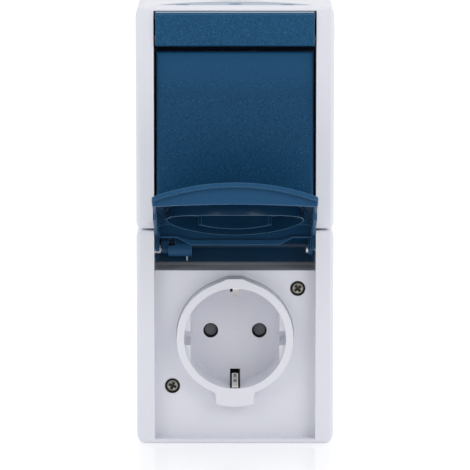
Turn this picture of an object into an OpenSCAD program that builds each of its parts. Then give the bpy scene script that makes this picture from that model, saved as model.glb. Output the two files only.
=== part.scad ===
// Switched socket for a wall: a rocker switch above an earthed two-pin socket with a hinged lid.
// Millimetres. X is right, Z is up, the wall is the plane Y = 0 and the front faces -Y.
// The origin is the middle of the back face. "Out" below is the distance from the wall.

/* [Housing] */
// Width of the housing
body_w = 76; // [75:0.5:80]
// Mean height of the two covers
cover_h = 84.85; // [84.45:0.2:88.25]
// Groove between the two covers
cover_gap = 0.8; // [0.6:0.1:1.2]
// Groove below the middle of the housing
groove_drop = 1; // [0.8:0.1:1]
// Depth of the back box
box_d = 23.5; // [23:0.5:26]
// Depth of the two covers
cover_d = 22.8; // [22.4:0.2:24]
// Thickness of the gasket under the covers
gasket_t = 1; // [0.6:0.1:1.6]
// Setback of the gasket from the outside
gasket_inset = 0.6; // [0.3:0.1:1]
// Radius of the outer corners
corner_r = 4; // [2:0.5:6]
// Radius of the corners beside the groove
groove_r = 2.5; // [1:0.5:4]
// Rounding of the front edges
edge_r = 1.8; // [0.8:0.1:1.9]
// Rounding of the front edges beside the groove
groove_edge = 0.5; // [0.3:0.1:1]
// Wall of the back box
box_t = 2.2; // [1.8:0.1:2.6]
// Outer wall of the covers
skirt_t = 2; // [1.6:0.1:2.4]
// Front wall of the frames
face_t = 2; // [1.6:0.1:2.4]
// Inner walls of the frames
tray_t = 1.8; // [1.4:0.1:2]
// Width of the side rails
rail_w = 6.9; // [6.4:0.1:7.4]
// Height of the bars at the two ends
lip_h = 1.8; // [1.4:0.1:2]
// Cut-back of the walls beside the groove, between the rails
trough_d = 13.3; // [13.2:0.1:13.6]

/* [Fixings] */
// Radius of the wall screw holes
wall_hole_r = 2.25; // [2:0.05:2.6]
// Wall hole distance from the middle, across
wall_hole_x = 26; // [22:0.5:28]
// Wall hole distance from the ends of the housing
wall_hole_end = 12.25; // [10.25:0.25:14]
// Radius of the pads round the wall holes
wall_pad_r = 5; // [4:0.5:6]
// Height of the pads round the wall holes
wall_pad_h = 1.2; // [0.6:0.2:2]
// Screw distance from a unit's middle, across
screw_x = 24.3; // [24:0.1:25]
// Screw distance from a unit's middle, upright
screw_z = 19.2; // [19:0.1:19.6]
// Screws below a unit's middle
screw_drop = 0.6; // [0.4:0.1:0.7]
// Radius of the screw posts
post_r = 3.5; // [3:0.1:3.6]
// Radius of a screw head
head_r = 2.2; // [2:0.05:2.3]
// Height of a cover screw's head
head_h = 1.1; // [0.9:0.1:1.4]
// Radius of the screw shanks
shank_r = 1.5; // [1.2:0.05:1.6]
// Length of a cover screw's shank
shank_l = 16; // [12:0.5:18]
// Outer radius of the seal rings
seal_r = 2.9; // [2.7:0.05:3.1]
// Height of the seal rings
seal_h = 1.2; // [0.9:0.1:1.4]
// Depth of the seats for the seal rings
seat_d = 1; // [0.8:0.1:1.1]
// Width of a screw's cross slots
cross_w = 0.7; // [0.5:0.05:0.9]
// Length of a screw's cross slots
cross_l = 2.8; // [2:0.1:3]
// Depth of a screw's cross slots
cross_d = 0.7; // [0.4:0.1:0.8]
// Gap round fixed pieces
fit_gap = 0.15; // [0.1:0.01:0.2]
// Gap round pressed pins and shanks
press_gap = 0.02; // [0.01:0.01:0.04]
// Gap round running pins
run_gap = 0.05; // [0.03:0.01:0.08]

/* [Cable entry] */
// Radius of the entry hole
entry_r = 8; // [7:0.25:8.5]
// Gap between the inner flange and the back wall of the box
entry_gap = 0.15; // [0.1:0.05:0.4]
// Flange of the grommet beyond the hole
entry_flange = 1.65; // [1.2:0.05:2]
// Thickness of the grommet's flanges
entry_flange_t = 1.2; // [0.8:0.1:1.6]
// Thickness of the grommet's membrane
entry_skin = 0.9; // [0.6:0.1:1.2]
// Wall of the grommet's neck
entry_neck = 1.8; // [1.4:0.1:2.4]
// Width of the wire passage through the middle rib
passage_w = 24; // [16:1:30]
// Depth of the wire passage
passage_d = 9; // [6:0.5:10]

/* [Face plate] */
// Depth of the face plate behind the frame
recess_d = 5.3; // [5:0.1:5.8]
// Thickness of the face plate
plate_t = 2.2; // [2:0.1:2.6]
// Socket middle below the groove between the covers
socket_down = 42.15; // [42.05:0.05:42.5]
// Top edge of the plate above the socket's middle
ledge_up = 25.7; // [25.6:0.1:26.4]
// Radius of the hinge pocket
pocket_r = 9.2; // [8.8:0.1:9.8]

/* [Socket] */
// Collar height above the plate
collar_rise = 6.5; // [5.8:0.1:6.6]
// Depth of the well
well_d = 17.5; // [17:0.1:18]
// Radius of the well
well_r = 19.7; // [19.5:0.05:19.8]
// Outer radius of the collar
collar_r = 22.6; // [22.3:0.05:22.7]
// Half width of the collar's peak
peak_x = 2.9; // [2.4:0.1:3.4]
// Height of the collar's peak above the middle
peak_h = 23.4; // [23.2:0.05:23.5]
// Half width of the tab where it meets the collar
tab_x = 7.7; // [7.2:0.1:8]
// Taper of the tab on each side
tab_taper = 0.4; // [0.2:0.1:0.8]
// Gap between the tab and the lid's ring
tab_gap = 0.45; // [0.4:0.05:0.8]
// Thickness of the well's floor
floor_t = 1.8; // [1.5:0.1:2]
// Thickness of the well's wall behind the plate
well_t = 2; // [1.8:0.1:2.2]
// Radius of the flange behind the plate
flange_r = 27; // [26.8:0.1:27.1]
// Thickness of the flange
flange_t = 2; // [1.5:0.1:2.5]
// Radius of a pin hole
pin_hole_r = 2.9; // [2.7:0.05:3]
// Pin distance from the middle
pin_x = 9.5; // [9.4:0.05:9.6]
// Half distance between the flat guide faces
flat_x = 17.2; // [17:0.05:17.4]
// Half height of the notches in the guide faces
notch_z = 2.75; // [2.5:0.05:3]
// Setback of the guide ribs from the rim
guide_back = 1.6; // [1:0.1:2.5]
// Half width of the earth slots
slot_x = 1.95; // [1.85:0.05:2.1]
// Inner end of the earth slots
slot_in = 15.3; // [15:0.1:15.6]
// Outer end of the earth slots
slot_out = 21.9; // [21.8:0.05:22]
// Wall left in front of the earth slots
slot_close = 1.4; // [1:0.1:1.8]
// Thickness of the earth strip
bow_t = 0.7; // [0.6:0.05:0.8]
// Half width of the earth strip
bow_x = 1.25; // [1.1:0.05:1.4]
// Distance of the earth arms from the middle
bow_r = 20.9; // [20.8:0.05:21]
// Distance of the earth contacts from the middle
bow_apex_r = 14.9; // [14.7:0.1:15.2]
// Fold of the earth arms behind the rim
bow_tip = 3.2; // [3:0.1:4]
// Earth contacts behind the rim
bow_apex = 9; // [8:0.5:10]
// Ends of the earth strip behind the rim
bow_end = 13.6; // [12.5:0.1:14]
// Size of the fold
bow_fold = 0.8; // [0.7:0.05:0.9]
// Length of the earth terminal's tongue
tongue_l = 15.8; // [15.4:0.1:16]
// Half width of the earth terminal's tongue
tongue_z = 2.2; // [2:0.1:2.4]
// Distance of the tongue below the middle
tongue_drop = 18; // [17.8:0.1:18.2]

/* [Socket base] */
// Radius of the insulating block
base_r = 24.7; // [24.6:0.1:25]
// Back of the insulating blocks, out from the wall
base_back = 8.5; // [8:0.1:9]
// Thickness of the blocks' floors
base_floor = 1.55; // [1.2:0.05:1.8]
// Half width over the terminal wings
wing_x = 30; // [29:0.5:31]
// Half height of the terminal wings
wing_z = 7; // [6:0.5:8]
// Depth of the terminal wings
wing_d = 15.5; // [13:0.5:17]
// Half size of the contact chambers
chamber = 4.3; // [4.2:0.05:4.5]
// Wall in front of the contact chambers
chamber_wall = 0.9; // [0.7:0.1:1.2]
// Thickness of the ears for the base screws
ear_t = 3.5; // [3:0.1:4]
// Radius of the ears for the base screws
ear_r = 4; // [3.5:0.1:4.2]
// Thickness of the contact strips
strip_t = 0.7; // [0.6:0.05:0.8]
// Half width of the contact strips
strip_z = 3; // [2.6:0.1:3.2]
// Half width of a pin contact at its foot
grip_foot = 3.4; // [3.2:0.05:3.5]
// Half width of a pin contact at its pinch
grip_pinch = 2.85; // [2.8:0.05:3]
// Length of a pin contact
grip_l = 15; // [13:0.5:15.5]
// Length of a pin contact to its pinch
grip_pinch_l = 12; // [10:0.5:12.5]
// Size of a terminal block
terminal = 6; // [5.6:0.1:6.2]
// Height of a terminal block
terminal_h = 6.2; // [5.8:0.1:6.6]
// Middle of the socket's terminals
terminal_x = 24.5; // [24:0.1:25]
// Radius of a terminal screw's head
terminal_head_r = 2.6; // [2.2:0.1:2.8]
// Height of a terminal screw's head
terminal_head_h = 1.8; // [1.4:0.1:2.2]

/* [Shutter] */
// Thickness of the shutter
shutter_t = 1.9; // [1.8:0.1:2]
// Gap in front of and behind the shutter
shutter_gap = 0.3; // [0.25:0.05:0.4]
// Length of a shutter blade
blade_l = 14; // [13.8:0.1:14.2]
// Half width of a shutter blade
blade_z = 4.2; // [4:0.1:4.3]
// Radius of the stud that the shutter turns on
stud_r = 1.5; // [1.3:0.05:1.6]
// Radius of the spring room behind the shutter
hub_r = 3.6; // [3.4:0.1:3.8]
// Depth of the spring room
hub_d = 1.2; // [1.1:0.05:1.3]
// Wire radius of the shutter's spring
shutter_wire = 0.15; // [0.12:0.01:0.16]

/* [Lid] */
// Opening angle of the lid as drawn
lid_open = 107.5; // [100:0.5:108]
// Hinge above the socket's middle
hinge_up = 33.54; // [33.4:0.02:33.6]
// Hinge behind the face plate
hinge_back = 3.3; // [3.2:0.1:3.4]
// Gap between the lid and the rails
lid_gap = 0.4; // [0.35:0.05:0.6]
// Gap between the lid's free end and the bar below it
lid_end_gap = 1.44; // [1.2:0.02:1.8]
// Thickness of the lid's skin
lid_skin = 1.6; // [1.4:0.05:1.65]
// Thickness of the lid's walls
lid_wall = 1.5; // [1.3:0.1:1.6]
// Height of the lid's crown above the hinge
crown_h = 14.67; // [14.5:0.05:15]
// Radius of the lid's crown across
crown_r = 90.6; // [88:0.2:94]
// Overhang of the lip past the end wall
lip_over = 1.7; // [1.4:0.1:2]
// Overhang of the skin past the side walls at the free end
skin_over = 0.4; // [0.2:0.1:0.5]
// Rear wall of the lid behind the hinge
rear_u = 6.5; // [6:0.1:6.6]
// Rim of the rear wall below the hinge
rear_rim = 4.27; // [4:0.05:4.4]
// Start of the rear rounding above the hinge
rear_top = 1; // [0.6:0.1:1.2]
// Radius of the rear rounding
rear_r = 4; // [3.6:0.1:4.4]
// Slope of the lid's shoulder
shoulder_a = 30; // [29:0.5:31]
// Length of the lid's shoulder
shoulder_l = 9.87; // [9.6:0.05:10.2]
// Radius of the bend between the shoulder and the roof
shoulder_r = 20.9; // [19:0.1:22]
// Slope of the roof
roof_a = 3.07; // [2.8:0.02:3.4]
// Gap between the lid's rims and the plate
rim_gap = 0.7; // [0.6:0.05:0.9]
// Rim of the end wall above the hinge
end_rim = 6; // [5.6:0.1:6.4]
// Rise of the end wall's rim at its middle
end_arch = 0.9; // [0.5:0.1:1.2]
// Step in the side walls, from the hinge
step_u = 50; // [46:1:54]
// Rim of the ears below the hinge
ear_rim = 1.15; // [1:0.05:1.3]
// Ring's middle below the socket's middle
ring_drop = 1.76; // [1.7:0.02:1.82]
// Inner radius of the ring
ring_r = 25.5; // [25.4:0.05:25.6]
// Thickness of the ring
ring_t = 0.7; // [0.6:0.1:1]
// Rise of the rims inside the lid, at the ring's sides
ring_arch = 1.95; // [1.5:0.05:2.2]
// Outer radius of the arc rib inside the ring
rib_r = 16.5; // [16:0.1:16.8]
// Thickness of the arc rib
rib_t = 1.4; // [1:0.1:1.6]
// Half angle of the arc rib
rib_a = 58; // [50:1:64]
// Rim of the arc rib above the hinge
rib_rim = 5.2; // [4.8:0.1:6]
// Cross wall from the hinge
cross_u = 4.3; // [4.2:0.05:4.5]
// Thickness of the cross wall
cross_t = 1.5; // [1.2:0.1:1.6]
// Rim of the cross wall at its middle, above the hinge
cross_lo = 0.75; // [0.6:0.05:1]
// Rim of the cross wall at its ends, above the hinge
cross_hi = 3.6; // [3.2:0.1:3.8]
// Half length of the low part of the cross wall
cross_x0 = 17.2; // [16:0.1:17.5]
// Half length to the end of the cross wall's slope
cross_x1 = 22.3; // [21:0.1:23]
// Height of the bead on the cross wall
bead_h = 1.9; // [1.4:0.1:2.2]
// Height of the bead at the ends of the cross wall
bead_end = 0.5; // [0.3:0.1:0.8]
// Projection of the bead
bead_out = 0.8; // [0.5:0.1:1]

/* [Hinge] */
// Radius of the hinge pins
pin_r = 0.8; // [0.7:0.05:0.85]
// Radius of the boss for the left pin
boss_r = 1.6; // [1.5:0.05:1.7]
// Radius of the left knuckle
knuckle_r = 1.75; // [1.6:0.05:2]
// Radius of the right knuckle
right_r = 2.35; // [2.2:0.05:2.6]
// Radius of the spring barrel
barrel_r = 2.85; // [2.8:0.05:3]
// Radius of the room for the coil
coil_room_r = 1.95; // [1.9:0.05:2]
// Left knuckle from the side of the lid
knuckle_in = 2.3; // [1.9:0.1:2.7]
// Length of the left knuckle
knuckle_l = 2.7; // [2.4:0.1:3]
// Length of the spring barrel
barrel_l = 8.9; // [8.8:0.1:9.4]
// End wall of the barrel
barrel_end = 0.8; // [0.6:0.1:0.9]
// Length of the barrel's window
window_l = 2.7; // [2.3:0.1:3]
// Lower edge of the window above the hinge
window_up = 0.9; // [0.7:0.1:1.1]
// Length of the right knuckle
right_l = 2.4; // [2.1:0.1:2.7]
// Radius of the right pin's head
pin_head_r = 1.6; // [1.4:0.1:1.8]
// Height of the right pin's head
pin_head_h = 0.8; // [0.6:0.1:1]
// Mean radius of the lid spring
coil_r = 1.4; // [1.38:0.01:1.42]
// Wire radius of the lid spring
coil_wire = 0.35; // [0.3:0.01:0.36]
// Turns of the lid spring
coil_turns = 6; // [4:1:6]
// Room inside the barrel before the coil
coil_in = 1.05; // [0.9:0.05:1.2]
// Room between the coil and the left knuckle
coil_out = 0.8; // [0.7:0.05:1]
// End of the spring's leg above the rim of the rear wall
leg_in = 0.5; // [0.4:0.1:1]

/* [Switch] */
// Lower end of the rocker above the groove between the covers
rocker_low = 7.75; // [7.45:0.1:8.15]
// Gap between the rocker and the strip
rocker_top = 2.75; // [2.6:0.05:3.1]
// Gap beside the rocker
rocker_gap = 1; // [0.8:0.1:1.2]
// Front of the level rocker behind the frame
rocker_sink = 1.3; // [1.1:0.1:1.6]
// Tilt of the rocker each way
rocker_tilt = 4; // [3:0.25:4.25]
// Pivot behind the level rocker's front
pivot_d = 6; // [5.6:0.1:6.4]
// Skirt of the rocker behind the pivot
rocker_skirt = 2.5; // [2:0.1:2.8]
// Wall of the rocker
rocker_t = 1.6; // [1.4:0.1:2]
// Front of the rocker
rocker_face = 2.2; // [1.8:0.1:2.6]
// Rounding of the rocker's edges
rocker_edge = 0.9; // [0.5:0.1:1.4]
// Radius of the trunnions
trunnion_r = 1.5; // [1.3:0.05:1.6]
// Depth of the deck behind the pivot
deck_back = 7; // [6.8:0.1:7.4]
// Thickness of the deck
deck_t = 2; // [1.8:0.1:2.2]
// Thickness of the rubber membrane on the deck
membrane_t = 0.9; // [0.6:0.1:1.2]
// Radius of the rocker's stem
stem_r = 3.6; // [3.4:0.1:3.8]
// Length of the stem behind the pivot
stem_l = 15; // [14:0.5:15.5]
// Radius of the plunger
plunger_r = 2; // [1.8:0.05:2.1]
// Plunger tip behind the pivot
plunger_tip = 18.4; // [18.2:0.1:18.5]
// Back of the plunger behind the pivot
plunger_top = 5; // [4.5:0.1:6]
// Top of the spring room before the pivot
spring_top = 2.2; // [1.8:0.1:2.4]
// Wire radius of the plunger's spring
plunger_wire = 0.25; // [0.2:0.05:0.3]
// Turns of the plunger's spring
plunger_turns = 7; // [5:1:8]
// Half size of the switch's insulating block
switch_half = 20; // [19.5:0.1:20.2]
// Half width of the switch's chamber
switch_x = 4.4; // [4.2:0.1:4.6]
// Half height of the switch's chamber
switch_z = 14; // [13.6:0.1:14.4]
// Floor of the switch's chamber behind the pivot
switch_floor = 26; // [25.8:0.1:26.2]
// Ridge of the bridge behind the pivot
ridge_back = 21; // [20.9:0.05:21.1]
// Radius of the ridge
ridge_r = 0.8; // [0.7:0.05:0.9]
// Tilt of the bridge each way
bridge_tilt = 6; // [5:0.25:6.25]
// Half length of the bridge
bridge_l = 10.8; // [10.6:0.1:11]
// Half width of the bridge
bridge_x = 2.8; // [2.4:0.1:3]
// Height of the bridge's hub above the ridge
bridge_h = 2.3; // [2.2:0.05:2.4]
// Arms of the bridge above the ridge
bridge_arm = 0.9; // [0.85:0.05:1]
// Thickness of the bridge's arms
bridge_t = 0.8; // [0.6:0.1:0.9]
// Half length of the bridge's hub
bridge_hub = 2.2; // [2:0.1:2.6]
// Distance of the contact studs from the ridge
button_z = 9; // [8.8:0.1:9.2]
// Radius of a contact stud
button_r = 1.3; // [1.2:0.1:1.5]
// Height of a contact stud
button_h = 1.1; // [1:0.05:1.15]
// Gap under the closed contact stud
button_gap = 0.12; // [0.08:0.02:0.2]
// Middle of the switch's terminals
switch_terminal_x = 15; // [14.8:0.1:15.2]
// Middle of the load contact above the ridge
load_z = 10; // [9.8:0.1:10.2]

/* [Strip] */
// Height of the strip above the rocker
strip_h = 13.25; // [13.05:0.05:13.45]
// Gap between the strip and the bar above it
strip_top_gap = 0.3; // [0.2:0.05:0.6]
// Gap beside the strip
strip_gap = 0.8; // [0.6:0.1:1]
// Front of the strip before the frame
strip_rise = 1; // [0.6:0.1:1.2]
// Thickness of the strip
strip_wall = 2.2; // [1.8:0.1:2.4]
// Chamfer of the strip's top edge
strip_edge = 1.05; // [0.8:0.05:1.4]
// Rounding of the strip's lower edge
strip_foot = 0.8; // [0.4:0.1:1.2]
// Depth of the strip's pocket behind the frame
strip_pocket = 19.1; // [19:0.1:19.3]
// Pocket wall below the strip
strip_room = 1.2; // [1:0.1:1.4]
// Flange's straight edge behind the frame
flange_front = 3.3; // [3:0.1:3.6]
// Half length of the flange's straight edge
flange_x = 30.2; // [30:0.05:30.3]
// Depth of the flange's arc
flange_d = 15; // [14.6:0.1:15.2]
// Top of the flange below the cover's top
flange_sink = 0.3; // [0.2:0.05:0.5]
// Radius of the three round windows
eyelet_r = 2.7; // [2.2:0.1:3]
// Depth of the three round windows
eyelet_d = 1.2; // [0.8:0.1:1.4]
// Distance between the round windows
eyelet_x = 20; // [18:0.5:21]
// Distance of the strip's legs from the middle
leg_x = 18; // [14:0.5:20]
// Thickness of the strip's legs
leg_t = 1.6; // [1.2:0.1:2]
// Depth of the strip's end cheeks
cheek_d = 6; // [5:0.1:7]
// Thickness of the strip's end cheeks
cheek_t = 1.6; // [1.2:0.1:2]
// Half length of the strip's end clips
clip_z = 3; // [2.5:0.1:3.5]
// Thickness of the strip's end clips
clip_t = 1.4; // [1.2:0.1:1.6]
// Reach of the end clips into the rails
clip_in = 1.2; // [1:0.1:1.3]

/* [Hidden] */
$fn = 48;
steps = 8;
white = "#E4E4E8";
blue = "#244F71";
grey = "#8C9094";
dark = "#2C2D30";
steel = "#B9BCC0";
brass = "#C9A24E";
past = 1;
half_w = body_w / 2;
upper_z1 = cover_h + cover_gap / 2;
upper_z0 = cover_gap / 2 - groove_drop;
lower_z1 = -cover_gap / 2 - groove_drop;
lower_z0 = -upper_z1;
box_x = half_w - box_t;
wall_hole_z = upper_z1 - wall_hole_end;
entry_w = box_t + entry_gap + entry_flange + entry_r;
cover_back = box_d + gasket_t;
front = cover_back + cover_d;
open_x = half_w - rail_w;
tray_x = open_x + tray_t;
trough = front - trough_d;
plate = front - recess_d;
plate_back = plate - plate_t;
socket_z = lower_z1 - socket_down;
ledge_z = socket_z + ledge_up;
rim = plate + collar_rise;
well_floor = rim - well_d;
floor_back = well_floor - floor_t;
flange_back = plate_back - flange_t;
hinge_w = plate - hinge_back;
hinge_z = socket_z + hinge_up;
pocket_floor = hinge_w - pocket_r;
pocket_top = lower_z1 - skirt_t;
tab_r = ring_r - tab_gap;
shutter_front = floor_back - shutter_gap;
shutter_back = shutter_front - shutter_t;
shutter_pocket = shutter_back - shutter_gap;
bow_w = shutter_pocket - bow_t;
contact_floor = base_back + base_floor;
terminal_top = contact_floor + strip_t + terminal_h;
terminal_shank = terminal_h - strip_t;
lid_x = open_x - lid_gap;
lid_l = hinge_z - lower_z0 - lip_h - lid_end_gap;
ear_u = hinge_up - ledge_up - lid_gap;
knuckle_x1 = lid_x - knuckle_in;
knuckle_x0 = knuckle_x1 - knuckle_l;
barrel_x = knuckle_x0 - barrel_l;
window_x = knuckle_x0 - window_l;
right_x = lid_x - right_l;
coil_x0 = barrel_x + barrel_end + coil_in;
coil_x1 = knuckle_x0 - coil_out;
ring_u = hinge_up + ring_drop;
ring_rim = hinge_back + rim_gap;
ring_arch_r = (pow(ring_r, 2) + pow(ring_arch, 2)) / (2 * ring_arch);
end_u = lid_l - lip_over;
lid_arch_r = (pow(lid_x - lid_wall, 2) + pow(end_arch, 2)) / (2 * end_arch);
lid_arch_a = asin((lid_x - lid_wall) / lid_arch_r);
lid_low = 20;
leg_end = [leg_in - rear_rim, rear_u - lid_skin - coil_wire - run_gap];
leg_turn = atan2(leg_end[1], leg_end[0]) - acos(coil_r / norm(leg_end));
strip_z1 = upper_z1 - lip_h - strip_top_gap;
strip_z0 = strip_z1 - strip_h;
rocker_z0 = upper_z0 + rocker_low;
rocker_z1 = strip_z0 - rocker_top;
rocker_z = (rocker_z1 - rocker_z0) / 2;
switch_mid = rocker_z0 + rocker_z;
pivot_w = front - rocker_sink - pivot_d;
rocker_x = open_x - rocker_gap;
deck = pivot_w - deck_back;
deck_under = deck - deck_t;
switch_front = deck_under - fit_gap;
switch_deep = pivot_w - switch_floor;
ridge_w = pivot_w - ridge_back;
switch_top = switch_deep + strip_t + terminal_h;
button_low = (bridge_arm - button_h) * cos(bridge_tilt) - (button_z + button_r) * sin(bridge_tilt);
load_top = ridge_w + button_low - button_gap;
strip_x = open_x - strip_gap;
strip_front = front + strip_rise;
strip_back = strip_front - strip_wall;
strip_floor = front - strip_pocket;
strip_pocket_z = strip_z0 - strip_room;
flange_w = front - flange_front;

// An outline seen from the front, between two distances out from the wall.
module front_slab(w0, w1) {
    rotate([90, 0, 0]) translate([0, 0, w0]) linear_extrude(w1 - w0) children();
}

// An outline of distance out and height, between two places across.
module side_slab(x0, x1) {
    rotate([0, 0, -90]) rotate([90, 0, 0]) translate([0, 0, -x1]) linear_extrude(x1 - x0) children();
}

// An outline of place across and distance out, between two heights.
module tall_slab(z0, z1) {
    translate([0, 0, z0]) linear_extrude(z1 - z0) mirror([0, 1]) children();
}

module rect(x0, z0, x1, z1) {
    translate([x0, z0]) square([x1 - x0, z1 - z0]);
}

function arc(c, r, a0, a1, n = steps) = [for (i = [0 : n])
    let (a = a0 + (a1 - a0) * i / n) c + r * [cos(a), sin(a)]];

// A rectangle with its own corner radius at the low and at the high end.
function rounded(x0, z0, x1, z1, r0, r1) = concat(
    arc([x1 - r0, z0 + r0], r0, -90, 0),
    arc([x1 - r1, z1 - r1], r1, 0, 90),
    arc([x0 + r1, z1 - r1], r1, 90, 180),
    arc([x0 + r0, z0 + r0], r0, 180, 270));

function unit(v) = v / norm(v);
function turned(v) = [-v[1], v[0]];
function reversed(p) = [for (i = [len(p) - 1 : -1 : 0]) p[i]];

// Mitre direction of a path at one of its points.
function mitre(p, i) = let (
    a = unit(p[max(i, 1)] - p[max(i, 1) - 1]),
    b = unit(p[min(i + 1, len(p) - 1)] - p[min(i + 1, len(p) - 1) - 1]),
    m = unit(turned(a) + turned(b)))
    m / (m * turned(a));

// The outline of a bent strip along a path.
function ribbon(p, t) = concat(
    [for (i = [0 : len(p) - 1]) p[i] + mitre(p, i) * t / 2],
    reversed([for (i = [0 : len(p) - 1]) p[i] - mitre(p, i) * t / 2]));

// A round wire along a path that never runs along the given axis.
module wire(path, axis, r) {
    sides = 8;
    last = len(path) - 1;
    points = [for (i = [0 : last])
        let (t = unit(path[min(i + 1, last)] - path[max(i - 1, 0)]),
            n = unit(cross(axis, t)),
            b = cross(t, n))
        for (k = [0 : sides - 1]) path[i] + r * (cos(360 * k / sides) * n + sin(360 * k / sides) * b)];
    sleeves = [for (i = [0 : last - 1], k = [0 : sides - 1])
        let (m = (k + 1) % sides) each [
            [i * sides + k, (i + 1) * sides + m, i * sides + m],
            [i * sides + k, (i + 1) * sides + k, (i + 1) * sides + m]]];
    caps = [[for (k = [0 : sides - 1]) k], [for (k = [sides - 1 : -1 : 0]) last * sides + k]];
    polyhedron(points, concat(caps, sleeves));
}

module at_screws(z) {
    for (s = [-1, 1]) translate([s * screw_x, z - screw_drop + s * screw_z]) children();
}

module at_ears(z) {
    for (s = [-1, 1]) translate([s * screw_x, z - s * screw_z]) children();
}

module wall_holes(r) {
    for (sx = [-1, 1], sz = [-1, 1]) translate([sx * wall_hole_x, sz * wall_hole_z]) circle(r);
}

// The two rooms of the box, above and below its rib.
module box_rooms() {
    rect(-box_x, lower_z0 + box_t, box_x, lower_z1 - skirt_t);
    rect(-box_x, upper_z0 + skirt_t, box_x, upper_z1 - box_t);
}

module back_box() {
    color(white) difference() {
        union() {
            difference() {
                front_slab(0, box_d)
                    polygon(rounded(-half_w, lower_z0, half_w, upper_z1, corner_r, corner_r));
                front_slab(box_t, box_d + past) box_rooms();
            }
            front_slab(box_t / 2, plate_back) at_screws(socket_z) circle(post_r);
            front_slab(box_t / 2, deck_under) at_screws(switch_mid) circle(post_r);
            front_slab(box_t / 2, base_back) at_ears(socket_z) circle(post_r);
            front_slab(box_t / 2, base_back) at_ears(switch_mid) circle(post_r);
            front_slab(box_t / 2, box_t + wall_pad_h) wall_holes(wall_pad_r);
        }
        front_slab(-past, box_t + wall_pad_h + past) wall_holes(wall_hole_r);
        front_slab(plate - seat_d - shank_l - past, plate) at_screws(socket_z) circle(shank_r + press_gap);
        front_slab(deck - seat_d - shank_l - past, deck) at_screws(switch_mid) circle(shank_r + press_gap);
        front_slab(box_t, base_back + past) at_ears(socket_z) circle(shank_r + press_gap);
        front_slab(box_t, base_back + past) at_ears(switch_mid) circle(shank_r + press_gap);
        front_slab(entry_w - passage_d / 2, entry_w + passage_d / 2)
            rect(-passage_w / 2, lower_z1 - skirt_t - past, passage_w / 2, upper_z0 + skirt_t + past);
        tall_slab(upper_z1 - box_t - past, upper_z1 + past) translate([0, entry_w]) circle(entry_r);
    }
}

module box_gasket() {
    color(dark) front_slab(box_d, cover_back) difference() {
        polygon(rounded(-half_w + gasket_inset, lower_z0 + gasket_inset, half_w - gasket_inset,
            upper_z1 - gasket_inset, corner_r - gasket_inset, corner_r - gasket_inset));
        box_rooms();
    }
}

// Outer block of a cover, with its own corner and edge radius at the low and at the high end.
module cover_block(z0, z1, r0, r1, e0, e1) {
    intersection() {
        front_slab(cover_back, front) polygon(rounded(-half_w, z0, half_w, z1, r0, r1));
        tall_slab(z0 - past, z1 + past) polygon(concat(
            [[-half_w, cover_back - past], [half_w, cover_back - past]],
            arc([half_w - edge_r, front - edge_r], edge_r, 0, 90),
            arc([edge_r - half_w, front - edge_r], edge_r, 90, 180)));
        side_slab(-half_w - past, half_w + past) polygon(concat(
            [[cover_back - past, z1], [cover_back - past, z0]],
            arc([front - e0, z0 + e0], e0, -90, 0),
            arc([front - e1, z1 - e1], e1, 0, 90)));
    }
}

// A cover's outer walls and its full front.
module cover_shell(z0, z1, r0, r1, e0, e1) {
    difference() {
        cover_block(z0, z1, r0, r1, e0, e1);
        front_slab(cover_back - past, front - face_t)
            rect(skirt_t - half_w, z0 + skirt_t, half_w - skirt_t, z1 - skirt_t);
    }
}

// Frame, face plate and hinge pocket of the lower cover.
module lower_frame() {
    difference() {
        union() {
            cover_shell(lower_z0, lower_z1, corner_r, groove_r, edge_r, groove_edge);
            front_slab(plate_back, front - face_t / 2)
                rect(-tray_x, lower_z0 + skirt_t / 2, tray_x, ledge_z);
            front_slab(pocket_floor - tray_t, front - face_t / 2)
                rect(-tray_x, ledge_z - tray_t, tray_x, lower_z1 - skirt_t / 2);
        }
        front_slab(plate, front + past) rect(-open_x, lower_z0 + lip_h, open_x, ledge_z + past);
        front_slab(pocket_floor, front + past) rect(-open_x, ledge_z, open_x, pocket_top);
        front_slab(trough, front + past) rect(-open_x, pocket_top - past, open_x, lower_z1 + past);
        front_slab(plate_back - past, plate + past)
            translate([0, socket_z]) polygon(collar_outline(fit_gap));
        front_slab(plate_back - past, plate + past) at_screws(socket_z) circle(shank_r + fit_gap);
        front_slab(plate - seat_d, plate + past) at_screws(socket_z) circle(seal_r);
    }
}

module lower_cover() {
    color(white) difference() {
        union() {
            lower_frame();
            side_slab(-tray_x, -knuckle_x1 - lid_gap) translate([hinge_w, hinge_z]) circle(boss_r);
        }
        for (s = [0, 1]) mirror([s, 0, 0]) side_slab(knuckle_x1, tray_x + past)
            translate([hinge_w, hinge_z]) circle(pin_r + press_gap);
    }
}

// The segment-shaped flange of the strip, seen from above.
function flange_outline(grow) = let (
    r = (flange_x * flange_x + flange_d * flange_d) / (2 * flange_d),
    c = [0, flange_w - flange_d + r],
    a = asin(flange_x / r))
    concat([[flange_x + grow, flange_w + grow], [-flange_x - grow, flange_w + grow]],
        arc(c, r + grow, 270 - a, 270 + a, 4 * steps));

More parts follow.
